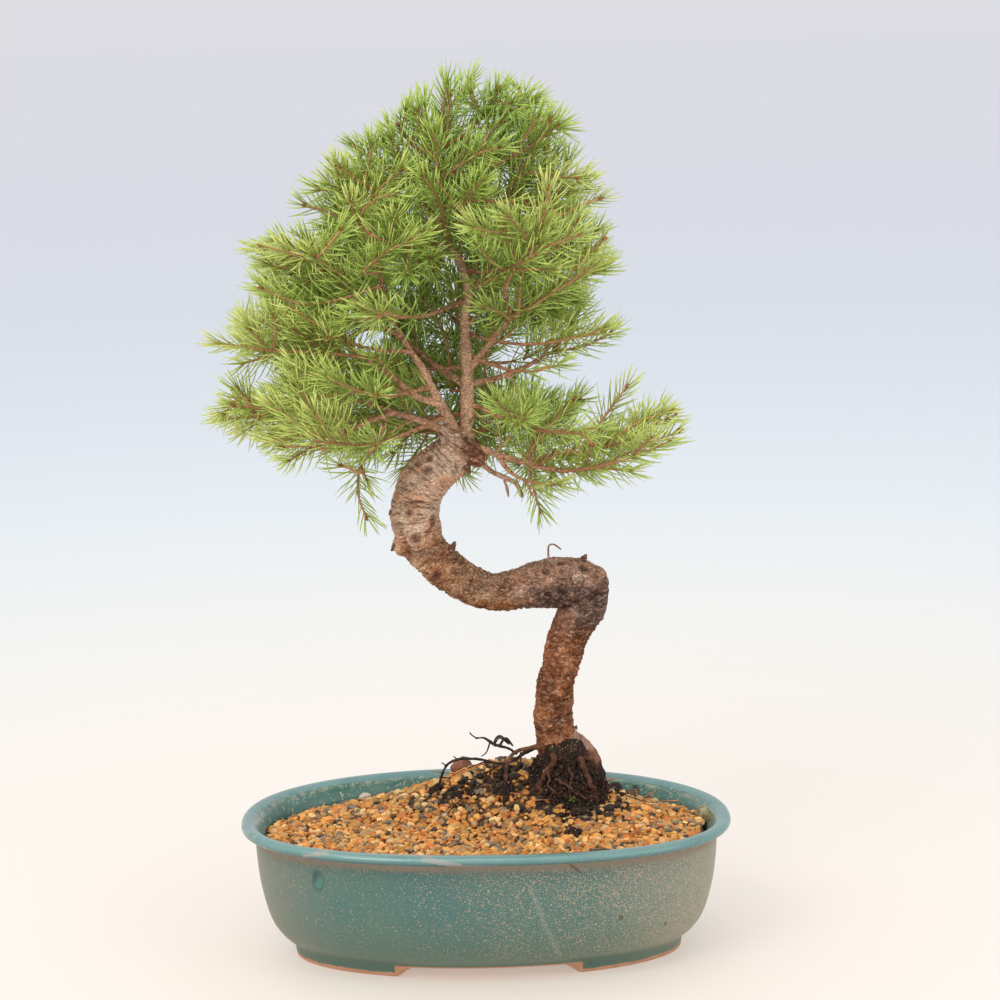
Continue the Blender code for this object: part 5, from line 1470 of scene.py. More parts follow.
class Shoot:
    """A shoot's route and radii, and the place on its parent where it starts, 0 for a main shoot."""

    def __init__(self, route, level=0):
        self.route = route
        self.level = level
        share = np.linspace(0, 1, len(route))
        self.radii = SHOOT_RADIUS + (SHOOT_END_RADIUS - SHOOT_RADIUS) * share

    def rods(self):
        """The route with the tip, and the radii along it; a side shoot's begins off its parent's core."""
        tip = self.route[-1] + unit(self.route[-1] - self.route[-2]) * TIP_NEEDLE
        route = np.vstack([self.route, tip])
        if self.level:
            route[0] = route[:2].mean(axis=0)
        return route, np.append(self.radii, 0.0)


def side_route(core, level, side, length):
    """Route of a side shoot: off the core at an angle, turning up and forwards a little."""
    start = core[level]
    axis = unit(core[min(level + 1, len(core) - 1)] - core[level - 1])
    flat = unit(np.cross(axis, (0, 0, 1.0))) * side
    heading = unit(axis * math.cos(SIDE_SHOOT_ANGLE) + flat * math.sin(SIDE_SHOOT_ANGLE) + SIDE_SHOOT_LIFT)
    end = start + heading * length
    bend = start + heading * length * 0.5 - flat * 1.2
    return smooth_route([start, bend, end + axis * 2.0], SHOOT_STEP)


def bent_core(route, room, owner, draw):
    """The route turned about its start, further each try, until it keeps clear; its start leaves a small gap."""
    for attempt in range(CORE_TRIES):
        swing = 0.0 if attempt == 0 else math.radians(3 + 0.45 * attempt)
        axis = np.array([draw.gauss(0, 1) for _ in range(3)])
        core = turned(route, route[0], axis, swing) if swing else route
        third = len(core) // 3
        core = smooth_route(core[[0, third, 2 * len(core) // 3, -1]], SHOOT_STEP)
        core[0] += unit(core[1] - core[0]) * CORE_GAP
        if room.clear(core[2:], SHOOT_RADIUS, owner):
            return core
    return None


def place_sprays(rows, room):
    """Main shoots one after another, each with side shoots left and right in turn where there is room."""
    draw = random.Random(5)
    placed = []
    owner = 100
    for route in rows:
        core = bent_core(route, room, owner, draw)
        if core is None:
            continue
        shoots = [Shoot(core)]
        room.add_route(*shoots[0].rods(), owner)
        side = 1 if draw.random() < 0.5 else -1
        length = (len(core) - 1) * SHOOT_STEP
        level = int(round(SIDE_SHOOT_FIRST_SHARE * length / SHOOT_STEP))
        while (len(core) - 1 - level) * SHOOT_STEP > SIDE_SHOOT_LEAST_REST and level > 1:
            owner += 1
            reach = min(SIDE_SHOOT_LENGTH, 0.62 * (len(core) - 1 - level) * SHOOT_STEP + 10)
            for _ in range(SIDE_SHOOT_TRIES):
                branch = side_route(core, level, side, reach * draw.uniform(0.85, 1.1))
                branch = turned(branch, branch[0], unit(core[level] - core[level - 1]), draw.uniform(-0.7, 0.7))
                if room.clear(branch[2:], SHOOT_RADIUS, owner):
                    shoots.append(Shoot(branch, level))
                    room.add_route(*shoots[-1].rods(), owner)
                    break
            side = -side
            level += int(round(SIDE_SHOOT_EVERY / SHOOT_STEP))
        placed.append(shoots)
        owner += 1
    return placed


room = Room()
for owner, (_, wood, _, _) in enumerate(limbs):
    thin = thin_out(wood, LIMB_STEP)
    room.add_route(thin, thin[:, 3], owner)
plain_stem = smooth_route(STEM, STEM_STEP)
room.add_route(plain_stem, plain_stem[:, 3], len(limbs))
sprays = place_sprays([rest for _, _, rest, share in limbs if share < 1.0], room)
print(len(sprays), "sprays with", sum(len(shoots) for shoots in sprays), "shoots")
spray_gap = [np.abs(to_scene(shoots[0].route[0]) - np.clip(to_scene(shoots[0].route[0]), *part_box(f"spray_{k:02d}")))
             for k, shoots in enumerate(sprays, 1)]
print("furthest start of a shoot from its plain spray's box", round(float(np.max(spray_gap)) * 1000, 2), "mm")

# %% [markdown]
# ## What shows from the front
# The tree has one front, the side it was trimmed for. A place in space shows where the line from the eye to it
# crosses the upright plane through the middle of the pot. On that plane the crown has an outline, drawn here as a
# table of heights with a left and a right edge, an underside, and a few windows through which the sky shows.

# %% The crown's outline
# Height, left edge and right edge
OUTLINE = np.array([
    (244, -64, 40), (252, -68, 71), (260, -76, 78), (268, -101, 92), (276, -108, 103), (284, -112, 108),
    (292, -138, 110), (300, -142, 108), (308, -142, 100), (316, -139, 86), (324, -132, 78), (332, -133, 76),
    (340, -139, 80), (348, -136, 78), (356, -133, 70), (364, -121, 68), (372, -121, 72), (380, -118, 74),
    (388, -118, 77), (396, -117, 73), (404, -96, 68), (412, -94, 74), (420, -92, 70), (428, -88, 63),
    (436, -78, 62), (444, -69, 58), (452, -60, 56), (460, -40, 55), (468, -32, 50), (476, -26, 44), (485, -14, 6)])
# How far the crown reaches to the front and back
DEEPEST = 94.0
MIDDLE_OF_CROWN = (-10.0, 0.0, 380.0)
# Place along the front and height of the underside
UNDERSIDE = np.array([
    (-142, 290), (-128, 284), (-112, 276), (-100, 268), (-84, 264), (-78, 254), (-72, 239), (-48, 239), (-42, 260),
    (-16, 270), (-8, 255), (2, 254), (9, 270), (20, 267), (28, 249), (36, 246), (52, 256), (74, 252), (92, 262),
    (110, 290)])
# Place along the front, height and radius of the windows
WINDOWS = ((61, 321, 14), (79, 322, 8), (39, 321, 6), (-53, 264, 8), (-116, 323, 6), (23, 333, 5), (-90, 404, 4),
           (71, 368, 4), (-84, 274, 4), (-59, 339, 3), (60, 298, 4), (84, 308, 4))


def seen(points):
    """Where points show on the upright plane through the pot's middle: along the front, and height."""
    share = EYE[1] / (EYE[1] - points[..., 1])
    return EYE[[0, 2]] + share[..., None] * (points[..., [0, 2]] - EYE[[0, 2]])


def room_inside(points):
    """How far inside the outline points show; less than zero beyond it or in a window."""
    x, height = np.moveaxis(seen(points), -1, 0)
    left, right = (np.interp(height, OUTLINE[:, 0], OUTLINE[:, column]) for column in (1, 2))
    under = np.interp(x, UNDERSIDE[:, 0], UNDERSIDE[:, 1])
    edges = [x - left, right - x, height - under, OUTLINE[-1, 0] - height, DEEPEST - np.abs(points[..., 1])]
    edges += [np.hypot(x - place, height - level) - size for place, level, size in WINDOWS]
    return np.minimum.reduce(edges)


def veils(points, lines, reach):
    """Whether points stand in front of the given lines and show within a reach of them."""
    apart = seen(points)[:, None] - seen(lines)
    return ((np.hypot(apart[..., 0], apart[..., 1]) < reach) & (points[:, None, 1] < lines[:, 1] - 3)).any(axis=1)


def outwardness(points):
    """Zero at the crown's middle line, one at its envelope."""
    middle = np.interp(points[..., 2], CROWN_HEIGHTS, CROWN_MIDDLES)
    half = np.interp(points[..., 2], CROWN_HEIGHTS, CROWN_HALF_WIDTHS)
    return np.hypot(points[..., 0] - middle, points[..., 1] / CROWN_DEPTH_SHARE) / half


print("room inside the outline in its middle", round(float(room_inside(np.array(MIDDLE_OF_CROWN))), 1), "mm")

# %% [markdown]
# ## Shoots listed one by one
# Some shoots catch the eye: those that stick out of the outline, the starbursts that point at the viewer, the long
# ones that the lower branches end in. Each is given as a few places, and a short piece leads each back to the
# nearest wood.

# %% The shoots that catch the eye
FRONT_SHOOTS = [
    [(-12, 6, 451), (-11, 5, 463), (-10, 4, 471)],
    [(-18, 0, 446), (-21, -7, 453), (-26, -14, 464)],
    [(-17, -14, 429), (-17, -22, 444), (-18, -30, 453)],
    [(-58, -6, 418), (-54, -10, 433), (-51, -14, 446)],
    [(-64, -10, 419), (-68, -14, 428), (-70, -18, 436)],
    [(-60, -26, 408), (-61, -39, 415), (-61, -52, 421)],
    [(-67, -8, 406), (-77, -9, 413), (-87, -10, 416)],
    [(-12, 2, 393), (-14, -13, 406), (-17, -29, 420), (-24, -44, 432)],
    [(-57, -30, 413), (-48, -38, 421), (-40, -46, 423)],
    [(-51, -16, 421), (-44, -23, 428), (-36, -30, 434)],
    [(-59, -28, 373), (-67, -33, 380), (-75, -39, 387), (-80, -44, 392)],
    [(-80, -44, 392), (-73, -49, 399), (-67, -54, 406)],
    [(-81, -42, 392), (-93, -41, 394), (-108, -40, 398)],
    [(-57, -40, 383), (-48, -46, 391), (-41, -52, 396), (-32, -58, 400)],
    [(-58, -34, 372), (-74, -38, 368), (-91, -42, 368), (-108, -46, 376)],
    [(23, 4, 426), (29, -1, 435), (36, -5, 446), (42, -10, 457)],
    [(-14, -10, 430), (0, -18, 439), (7, -26, 443), (15, -34, 445)],
    [(7, -14, 439), (9, -13, 450), (16, -12, 457)],
    [(20, 0, 423), (30, -5, 430), (40, -11, 429), (55, -16, 428)],
    [(32, -36, 393), (35, -41, 404), (39, -47, 415), (40, -52, 424)],
    [(31, -38, 394), (25, -47, 405), (19, -56, 411)],
    [(33, -38, 394), (40, -42, 395), (55, -46, 400)],
    [(24, -14, 359), (26, -22, 378), (30, -30, 391), (33, -38, 395)],
    [(29, -16, 359), (40, -21, 367), (51, -25, 374), (63, -30, 383)],
    [(1, -6, 370), (9, -13, 375), (17, -20, 379)],
    [(50, -8, 374), (59, -10, 385), (69, -12, 394)],
    [(44, -24, 391), (49, -29, 399), (55, -34, 406)],
    [(47, -6, 408), (58, -7, 413), (67, -8, 416)],
    [(-105, -36, 344), (-103, -42, 353), (-103, -48, 361)],
    [(-62, -26, 338), (-65, -30, 343), (-67, -34, 347)],
    [(-71, -28, 341), (-77, -34, 346), (-83, -40, 351)],
    [(-119, -14, 307), (-120, -17, 313), (-125, -20, 320)],
    [(-124, -20, 317), (-128, -24, 314), (-132, -28, 310)],
    [(-79, -40, 290), (-87, -42, 293), (-100, -44, 293)],
    [(-63, -22, 274), (-67, -24, 277), (-71, -26, 279)],
    [(-64, -6, 272), (-64.5, -8, 260), (-61, -9, 249)],
    [(-43, -22, 355), (-46, -36, 359), (-49, -50, 362)],
    [(-47, -26, 330), (-48, -35, 334), (-51, -44, 339)],
    [(-14, 30, 313), (-15, 31, 333), (-20, 33, 348), (-27, 34, 361)],
    [(-29, 30, 294), (-37, 27, 287), (-45, 24, 278)],
    [(20, -8, 353), (14, -17, 358), (6, -26, 362)],
    [(35, 26, 326), (40, 23, 334), (43, 20, 342)],
    [(42, 28, 330), (51, 27, 332), (61, 27, 334), (73, 26, 340)],
    [(66, -6, 295), (73, -8, 305), (80, -10, 315)],
    [(29, -2, 272), (46, -4, 280), (59, -7, 284), (71, -9, 287), (87, -12, 297), (104, -14, 303)],
    [(29, -6, 273), (44, -11, 272), (59, -16, 273), (74, -20, 279), (87, -25, 285), (106, -30, 294)],
    [(26, 2, 276), (32, 5, 284), (41, 7, 294), (52, 10, 306)],
    [(59, -14, 271), (59, -19, 278), (60, -24, 286)],
    [(28, 0, 270), (30, -3, 261), (33, -6, 250)],
]
HAND_STEP = 3.0
# Room left at the outline, for three kinds of shoots in turn
EDGE_ROOM = (7.0, 4.0, 1.0)
LEADER_SHOWS_BELOW = 402


def along_route(route, at):
    """Places on a route at the given lengths, and the directions there."""
    length = np.append(0, np.cumsum(step_lengths(route)))
    place, before, after = (np.stack([np.interp(at + shift, length, column) for column in route[:, :3].T], axis=1)
                            for shift in (0.0, -1.5, 1.5))
    return place, unit(after - before)


def hosts_on(route, first, step=2.5):
    """Places with directions where twigs may start: from a share of the route to near its end."""
    whole = step_lengths(route).sum()
    return np.hstack(along_route(route, np.arange(first * whole, whole - 2.0, step)))


def led_back(points, hosts):
    """A drawn shoot with a slightly bent piece from the nearest wood, where it doesn't start on wood itself."""
    points = np.array(points, float)
    apart = hosts[:, :3] - points[0]
    nearest = hosts[np.argmin(np.linalg.norm(apart, axis=1) + 0.5 * np.maximum(apart[:, 2], 0)), :3]
    if np.linalg.norm(nearest - points[0]) > 2.0:
        bend = 0.5 * (nearest + points[0]) - 0.12 * (points[1] - points[0])
        points = np.vstack([nearest, bend, points])
    return smooth_route(points, HAND_STEP)


def cut_back(route, room):
    """The part of a shoot before the first place that shows too near the outline."""
    near = np.flatnonzero(room_inside(route[3:]) < room)
    return route[: 3 + near[0]] if len(near) else route


limb_rests = [rest for _, _, rest, share in limbs if share < 1.0]
foliage = []
for shoots, rest in zip(sprays, limb_rests):
    joint = rest[0] - unit(rest[1] - rest[0]) * 1.0
    for shoot in shoots:
        route = np.vstack([joint, shoot.route]) if shoot.level == 0 else shoot.route
        foliage.append((cut_back(route, EDGE_ROOM[len(foliage) % 3]), "shoot"))
wood_hosts = np.vstack([hosts_on(wood, 0.35) for _, wood, _, share in limbs if share < 1.0 and len(wood) > 5])
shoot_hosts = np.vstack([hosts_on(route, 0.12) for route, _ in foliage])
hosts = np.vstack([wood_hosts, shoot_hosts])
by_hand = [led_back(points, hosts) for points in FRONT_SHOOTS]
leader = next(wood for name, wood, _, _ in limbs if name == "leader_main")
leader = leader[leader[:, 2] < LEADER_SHOWS_BELOW, :3]
bare = [wood[::2, :3] for name, wood, _, _ in limbs if not name.startswith(("crown", "leader_main"))]
kept_lines = np.vstack([leader] + bare + [route[-int(10 + 0.4 * len(route)):] for route in by_hand])
foliage += [(route, "front") for route in by_hand]
print(len(by_hand), "shoots drawn by hand,", len(foliage), "in all so far")

# %% [markdown]
# ## Twigs that share out the room
# A new twig grows where the light still gets in. So here each new twig is the best of some tries: the one whose
# tip and middle lie furthest from everything that has grown so far. Tries start at random places on shoots and
# limbs, lean forwards, and count only where they show inside the outline and hide none of the lines kept in view.

# %% Twigs one after another
TWIG_TRIES = 36
TWIGS = 395
TWIG_LENGTH = (13.0, 32.0)
TWIG_LEAN = (math.radians(34), math.radians(68))
TWIG_TIP_ROOM = (6.0, 15.0)
TWIG_LEAST_APART = 4.0
DEPTH_WEIGHT = 0.6
GOLDEN = math.pi * (3 - math.sqrt(5))


def around(axis, angle):
    """Directions square to each axis, turned about it by each angle."""
    side = unit(np.cross(axis, (0.31, 0.17, 0.93)))
    return np.cos(angle)[:, None] * side + np.sin(angle)[:, None] * np.cross(axis, side)


def tries(hosts, draw):
    """Paths of six places each, from random hosts."""
    host = hosts[draw.integers(0, len(hosts), TWIG_TRIES)]
    place, axis = host[:, :3], host[:, 3:]
    lean = draw.uniform(*TWIG_LEAN, TWIG_TRIES)[:, None]
    out = around(axis, draw.uniform(0, 2 * math.pi, TWIG_TRIES))
    heading = unit(axis * np.cos(lean) + out * np.sin(lean) + (0, 0, 0.16))
    length = draw.uniform(*TWIG_LENGTH, TWIG_TRIES)[:, None, None]
    share = np.linspace(0, 1, 6)[None, :, None]
    bend = 0.12 * axis[:, None] + np.array([0, 0, 0.1])
    return place[:, None] + heading[:, None] * length * share + bend * length * share ** 2


def merit(paths, bodies, draw):
    """Least distance of the middle and tip from all that has grown; far below zero where a twig may not be."""
    ends = paths[:, [3, 5]] * (1, DEPTH_WEIGHT, 1)
    apart = np.linalg.norm(ends[:, :, None] - bodies * (1, DEPTH_WEIGHT, 1), axis=-1)
    value = apart.min(axis=-1).mean(axis=1)
    shut = room_inside(paths[:, 3:]).min(axis=1) < draw.uniform(*TWIG_TIP_ROOM, TWIG_TRIES)
    shut |= outwardness(paths[:, 5]) > 1.0
    shut |= veils(paths[:, 3], kept_lines, 8.0) | veils(paths[:, 5], kept_lines, 11.0)
    return np.where(shut, -100.0, value)


draw = np.random.default_rng(67)
bodies = np.vstack([route[2:, :3] for route, _ in foliage] + [leader])
for _ in range(TWIGS):
    paths = tries(hosts, draw)
    value = merit(paths, bodies, draw)
    best = int(np.argmax(value))
    if value[best] < TWIG_LEAST_APART:
        continue
    foliage.append((paths[best], "twig"))
    bodies = np.vstack([bodies, paths[best][2:]])
    hosts = np.vstack([hosts, hosts_on(paths[best], 0.35, 4.0)])
print(len(foliage), "shoots and twigs")

# %% [markdown]
# ## Needles
# A spruce needle is square in section, over half a millimetre thick and some fifteen long, and bends forwards.
# Here it is two rings of three points and a tip, ten triangles: enough for a thing one pixel wide. All needles of
# a shoot are one array. They stand in a spiral by the golden angle and lean less towards the shoot's tip, where
# they make a tuft. Needles that would show beyond the outline are shorter or left out.

# %% One call makes all the needles of a shoot
NEEDLE_LENGTH = 17.0
NEEDLE_LEAN = math.radians(62)
NEEDLE_LEAN_LESS_AT_TIP = math.radians(36)
NEEDLE_LIFT = np.array([0.0, 0.0, 0.10])
NEEDLE_BEND = 0.25
NEEDLE_SPACING = 0.84
NEEDLE_HALF_WIDTH = 0.41
NEEDLE_LEAST_LENGTH = 6.0
NEEDLE_RINGS = ((0.0, 0.8), (0.7, 1.0))
NEEDLE_TONES = [tint(156, 196, 90), tint(184, 212, 98), tint(202, 218, 108), tint(224, 230, 130)]


def needle_mesh(foot, heading, forward, length, width, tone):
    """Rings of three corners about a parabola from the foot along the heading, which bends forward."""
    count = len(foot)
    side = np.cross(heading, forward)
    side /= np.maximum(np.linalg.norm(side, axis=1, keepdims=True), 1e-6)
    over = np.cross(side, heading)
    rows = []
    for share, size in NEEDLE_RINGS:
        centre = foot + heading * (length * share)[:, None]
        centre = centre + forward * (NEEDLE_BEND * length * share ** 2)[:, None]
        for k in range(3):
            angle = 2 * math.pi * k / 3 + math.pi / 2
            rows.append(centre + (math.cos(angle) * side + math.sin(angle) * over) * (width * size)[:, None])
    rows.append(foot + heading * length[:, None] + forward * (NEEDLE_BEND * length)[:, None])
    points = np.stack(rows, axis=1)
    start = (np.arange(count) * 7)[:, None, None]
    quads = [[k, (k + 1) % 3, 3 + (k + 1) % 3, 3 + k] for k in range(3)]
    triangles = [[3, 4, 6], [4, 5, 6], [5, 3, 6], [0, 2, 1]]
    shade = np.array([0.8] * 3 + [1.0] * 3 + [1.12])
    tones = np.clip(tone[:, None] * shade[None, :, None], 0, 1)
    return points, np.array(quads)[None] + start, np.array(triangles)[None] + start, tones.reshape(-1, 3)


def gradient(amount, colours):
    """A colour on a line through several colours, for amounts from 0 to 1."""
    place = np.clip(amount, 0, 1) * (len(colours) - 1)
    return np.stack([np.interp(place, np.arange(len(colours)), column) for column in np.array(colours).T], axis=-1)


def needles_on(path, kind, draw, young):
    """All the needles of one shoot or twig, from its start to a tuft round its bud."""
    whole = step_lengths(path).sum()
    first = 2.5 if kind == "twig" else 3.5
    at = np.append(np.arange(first, whole - 0.8, NEEDLE_SPACING), np.linspace(whole - 0.8, whole, 7))
    at = at + draw.uniform(-0.3, 0.3, len(at)) * NEEDLE_SPACING
    place, axis = along_route(path, at)
    share = np.clip(at / whole, 0, 1)
    out = around(axis, draw.uniform(0, 6.28) + np.arange(len(at)) * GOLDEN + draw.normal(0, 0.25, len(at)))
    lean = NEEDLE_LEAN - NEEDLE_LEAN_LESS_AT_TIP * share ** 2.5 + draw.normal(0, 0.13, len(at))
    heading = unit(axis * np.cos(lean)[:, None] + out * np.sin(lean)[:, None] + NEEDLE_LIFT)
    length = NEEDLE_LENGTH * (1 - 0.25 * share ** 3) * draw.uniform(0.82, 1.1, len(at))
    forward = unit(axis + (0, 0, 0.35) + draw.normal(0, 0.15, (len(at), 3)))
    spare = draw.uniform(0, 5.0, len(at)) + draw.choice([0.0, 2.0, 7.0])
    beyond = np.minimum(room_inside(place + heading * length[:, None]) + spare, 0)
    length = length + 1.1 * beyond
    keep = (length > NEEDLE_LEAST_LENGTH) & (beyond > -draw.uniform(2, 9, len(at)))
    if kind == "front":
        keep &= (out[:, 1] > -0.8) | (draw.random(len(at)) < 0.4)
    else:
        keep &= ~(veils(place + heading * 8, kept_lines, 4.0) & (draw.random(len(at)) < 0.75))
    amount = 0.3 + 0.3 * np.clip(outwardness(place * (1, 0.55, 1)), 0, 1.1) ** 2 + 0.22 * share
    # Painted light: needles on the upper side of a shoot get a slightly lighter tone.
    amount = amount + young + draw.normal(0, 0.09, len(at)) + 0.08 * out[:, 2]
    tone = gradient(amount, NEEDLE_TONES) * draw.uniform(0.88, 1.12, (len(at), 1))
    width = NEEDLE_HALF_WIDTH * draw.uniform(0.85, 1.12, len(at))
    return needle_mesh(place[keep], heading[keep], forward[keep], length[keep], width[keep], tone[keep])


def needle_finish():
    """Waxy green: the painted tone with faint pale bands of pores, slightly glossy."""
    f = Finish("needles", Roughness=0.42, Specular_IOR_Level=0.45)
    streak = f.noise(900.0, 2.0, 0.5)
    colour = f.mix(f.step(streak, 0.5, 0.75) * 0.3, f.painted("tone"), tint(222, 232, 170))
    colour = f.mix(f.step(streak, 0.5, 0.25) * 0.25, colour, tint(120, 140, 90), "MULTIPLY")
    return f.wear(Base_Color=colour, Normal=f.relief(streak, 0.0001, 0.3))


needle_material = needle_finish()
REGIONS = [("top", lambda place: place[2] > 405), ("middle_left", lambda place: place[2] > 335 and place[0] < -20),
           ("middle_right", lambda place: place[2] > 335), ("lower_left", lambda place: place[0] < -60),
           ("lower_middle", lambda place: place[0] < 5), ("lower_right", lambda place: True)]


def region_of(route):
    """The first region that holds the middle of the route."""
    return next(name for name, inside in REGIONS if inside(route[len(route) // 2]))


draw = np.random.default_rng(71)
gathers = {name: Gather() for name, _ in REGIONS}
needle_total = 0
for route, kind in foliage:
    middle = route[len(route) // 2]
    young = draw.normal(0, 0.11) + 0.16 * float(middle[2] < 350 and middle[0] < -60) - 0.1 * float(middle[2] > 440)
    parts = needles_on(route, kind, draw, young + 0.08 * float(kind == "front"))
    needle_total += len(parts[0])
    gathers[region_of(route)].add(*parts)
plain_in = {name: [] for name, _ in REGIONS}
for number, shoots in enumerate(sprays, 1):
    plain_in[region_of(shoots[0].route)].append(f"spray_{number:02d}")
for name, gather in gathers.items():
    make_piece("needles_" + name, gather, needle_material, plain_in[name])
print(needle_total, "needles")

# %% [markdown]
# ## Shoots and buds
# Under the needles run thin orange-brown shoots, each ending in a small pointed bud. Every shoot is a tapered rod
# of five sides, and every bud three rings of five points with a pole at each end.

# %% Shoots and buds
def bud_mesh(place, axis, size):
    """An egg along the axis: ring radii 0.7, 1 and 0.55 at 0.15, 0.45 and 0.8 of its length."""
    ring = around(np.tile(axis, (5, 1)), np.arange(5) * 2 * math.pi / 5)
    rows = [(0.15, 0.7), (0.45, 1.0), (0.8, 0.55)]
    grid = np.stack([place + axis * size * 2.6 * share + ring * size * radius for share, radius in rows])
    points, quads, triangles = closed_grid(grid)
    points[-1] = place + axis * size * 2.9
    return points, quads, triangles


# Radii at the start and the end, size of the bud and colour of the bark
SHOOT_KINDS = {"shoot": ((1.0, 0.55), 1.1, tint(190, 138, 98)), "front": ((0.95, 0.55), 1.3, tint(208, 156, 112)),
               "twig": ((0.7, 0.42), 0.8, tint(208, 156, 112))}
draw = np.random.default_rng(73)
shoot_gather, bud_gather = Gather(), Gather()
for path, kind in foliage:
    radii, bud_size, brown = SHOOT_KINDS[kind]
    route = np.column_stack([path[:, :3], np.linspace(*radii, len(path))])
    shoot_gather.add(*rod(route, 5)[0], np.clip(np.array(brown) * draw.uniform(0.75, 1.15), 0, 1))
    orange = np.array(tint(176, 104, 62)) * draw.uniform(0.7, 1.2)
    bud = bud_mesh(path[-1, :3], unit(path[-1, :3] - path[-2, :3]), draw.uniform(0.75, 1.1) * bud_size)
    bud_gather.add(*bud, np.clip(orange, 0, 1))
shoot_finish = bark_finish("shoots", tint(150, 106, 78), tint(232, 190, 140), 0.0003)
make_piece("shoots", shoot_gather, shoot_finish)
make_piece("buds", bud_gather, shoot_finish)
print(len(foliage), "buds")

# %% [markdown]
# ## Small things on the soil
# What makes the surface of an old pot look real is what lies on it: dead needles, tufts of moss on the peat, a few
# clods, crumbs of lichen by the right edge and two pale stones at the back. The dead needles and the moss use the
# needle function again at their own sizes.

# %% Dead needles and moss
draw = np.random.default_rng(83)
heaps = [((72, 46), 7, 12), ((94, 46), 7, 6), ((84, 36), 7, 8), ((-10, 30), 22, 8), ((0, -20), 60, 8)]
spots = np.vstack([np.array(centre) + draw.normal(0, spread, (number, 2)) for centre, spread, number in heaps])
spots = spots[(np.abs(spots / (118, 71)) ** 2.3).sum(axis=1) < 1]
turn = draw.uniform(0, 2 * math.pi, len(spots))
heading = np.stack([np.cos(turn), np.sin(turn), draw.uniform(-0.02, 0.12, len(spots))], axis=1)
foot = np.column_stack([spots, bed_height(spots[:, 0], spots[:, 1]) + draw.uniform(1.4, 2.6, len(spots))])
length = draw.uniform(9, 16, len(spots))
forward = np.stack([-np.sin(turn), np.cos(turn), np.zeros(len(turn))], axis=1)
brown = gradient(draw.random(len(spots)), [tint(112, 62, 44), tint(204, 118, 78), tint(236, 168, 116)])
litter = Gather()
litter.add(*needle_mesh(foot, heading, forward, length, np.full(len(spots), 0.42), brown))
make_piece("dead_needles", litter, needle_material)

MOSS_TUFTS = [((19.5, 27, 88), 2.6, 60), ((23, 27, 86), 1.8, 34), ((55, 11, 78), 2.6, 60), ((58, 17, 79), 2.2, 44),
              ((48, 6, 82), 1.6, 24), ((38, 12, 88), 1.8, 28), ((-19, 31, 79), 1.5, 20), ((28, 40, 84), 2.4, 44),
              ((66, 36, 76), 2.2, 40)]
moss = Gather()
for centre, spread, number in MOSS_TUFTS:
    foot = np.array(centre) + draw.normal(0, 0.55 * spread, (number, 3)) * (1, 1, 0.35)
    heading = unit(np.subtract(centre, (*BALL_CENTRE, 60.0))) + draw.normal(0, 0.5, (number, 3))
    upwards = np.tile((0.0, 0.0, 1.0), (number, 1))
    green = gradient(draw.random(number), [tint(40, 66, 24), tint(84, 122, 38), tint(150, 176, 70)])
    length = draw.uniform(1.2, 3.0, number)
    moss.add(*needle_mesh(foot, unit(heading + (0, 0, 0.5)), upwards, length, np.full(number, 0.3), green))
make_piece("moss", moss, needle_material)

# %% Clods, crumbs of lichen and two pale stones: place, half sizes, light and dark colour; the light colour is painted on the bumps and the dark one in the hollows, as painted light and shade
LUMPS = [((121, 11, 71.5), (4.2, 6.0, 4.0), tint(176, 168, 124), tint(120, 108, 74)),
         ((124, 3, 71), (2.6, 4.0, 2.6), tint(168, 156, 112), tint(110, 96, 66)),
         ((50, -4, 73.5), (9.0, 4.0, 2.2), tint(62, 44, 34), tint(24, 18, 15)),
         ((62, -54, 71), (7.0, 3.2, 2.4), tint(96, 66, 44), tint(40, 28, 22)),
         ((74, 50, 76), (4.2, 3.4, 3.2), tint(40, 30, 26), tint(24, 18, 16)),
         ((-70, 58, 71.5), (3.6, 2.8, 2.4), tint(226, 218, 200), tint(188, 176, 152)),
         ((-65, 50, 71.5), (3.2, 2.6, 2.2), tint(220, 206, 182), tint(180, 164, 138)),
         ((10, 30, 88), (2.8, 2.4, 2.2), tint(52, 40, 34), tint(28, 22, 20))]


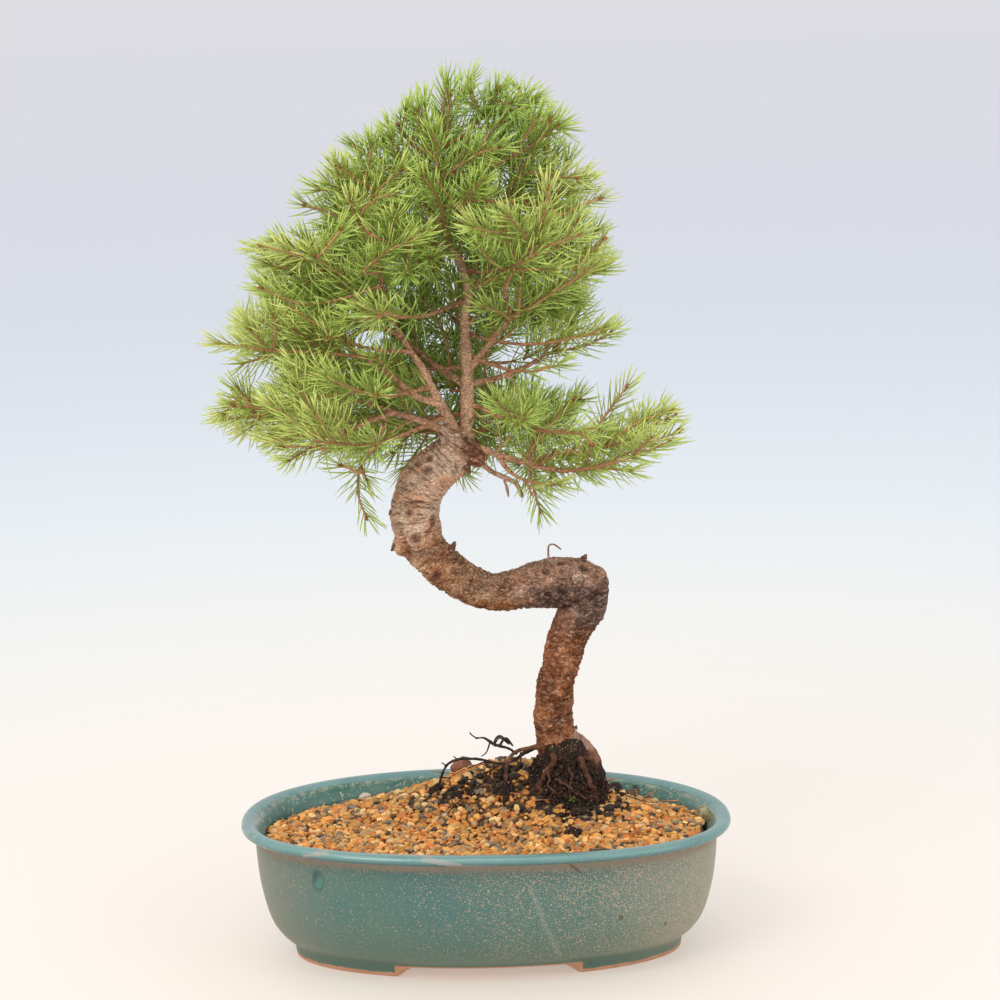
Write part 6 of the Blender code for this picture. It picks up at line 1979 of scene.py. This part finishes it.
def lump_grid(centre, half, seed):
    """An ellipsoid from pole to pole with two sizes of lattice noise on its radius."""
    around_angle = np.arange(28) * 2 * math.pi / 28
    down = np.linspace(0.12, math.pi - 0.12, 16)[:, None]
    ball = np.stack([np.sin(down) * np.cos(around_angle), np.sin(down) * np.sin(around_angle),
                     -np.cos(down) * np.ones(28)], axis=-1)
    rough = 0.22 * lattice_noise(ball, 0.8, seed, 2) + 0.12 * lattice_noise(ball, 0.3, seed + 5, 2)
    return np.array(centre) + ball * np.array(half) * (1 + rough)[..., None], rough


lumps = Gather()
for number, (centre, half, light, dark) in enumerate(LUMPS):
    grid, rough = lump_grid(centre, half, 500 + number)
    # Painted light and shade: each lump is lighter on its bumps and darker in its hollows.
    lumps.add(*closed_grid(grid), blend(np.append(rise(rough, -0.12, 0.14), [0.5, 0.5]), dark, light))
make_piece("clods_and_stones", lumps, gravel_finish)

# %% [markdown]
# ## The drain meshes
# Two plates of black plastic mesh cover the drain holes from inside. They are carried over from the plain model as
# they are and only get a finish: dull black plastic with a grid of fine lines and grit caught in it.

# %% Plastic mesh
def mesh_finish():
    """Dull black plastic: two sines in the x and y of the point make the grid, and grit lies on it."""
    f = Finish("plastic_mesh", Roughness=0.5)
    x, y = f.axis("X"), f.axis("Y")
    lines = x.wave(2200.0).greatest(y.wave(2200.0))
    colour = f.mix(f.step(lines, 0.2, 0.8), tint(22, 22, 22), tint(46, 46, 44))
    grit = f.step(f.noise(500.0, 3.0), 0.58, 0.66)
    colour = f.mix(grit * 0.7, colour, tint(128, 96, 62))
    return f.wear(Base_Color=colour, Normal=f.relief(lines, 0.0003, 0.6))


drain_finish = mesh_finish()
for name in ("drain_mesh_left", "drain_mesh_right"):
    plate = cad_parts[name]
    for slot in plate.material_slots:
        slot.material = drain_finish
    print(name, "is finished as", plate.material_slots[0].material.name)

# %% [markdown]
# ## The size
# The dressed tree must be as big as the plain one. Both boxes are printed side by side.

visual_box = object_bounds()
sizes = {"cad": [[round(float(v), 5) for v in corner] for corner in CAD_BOX],
         "visual": [[round(float(v), 5) for v in corner] for corner in visual_box]}
print(sizes)
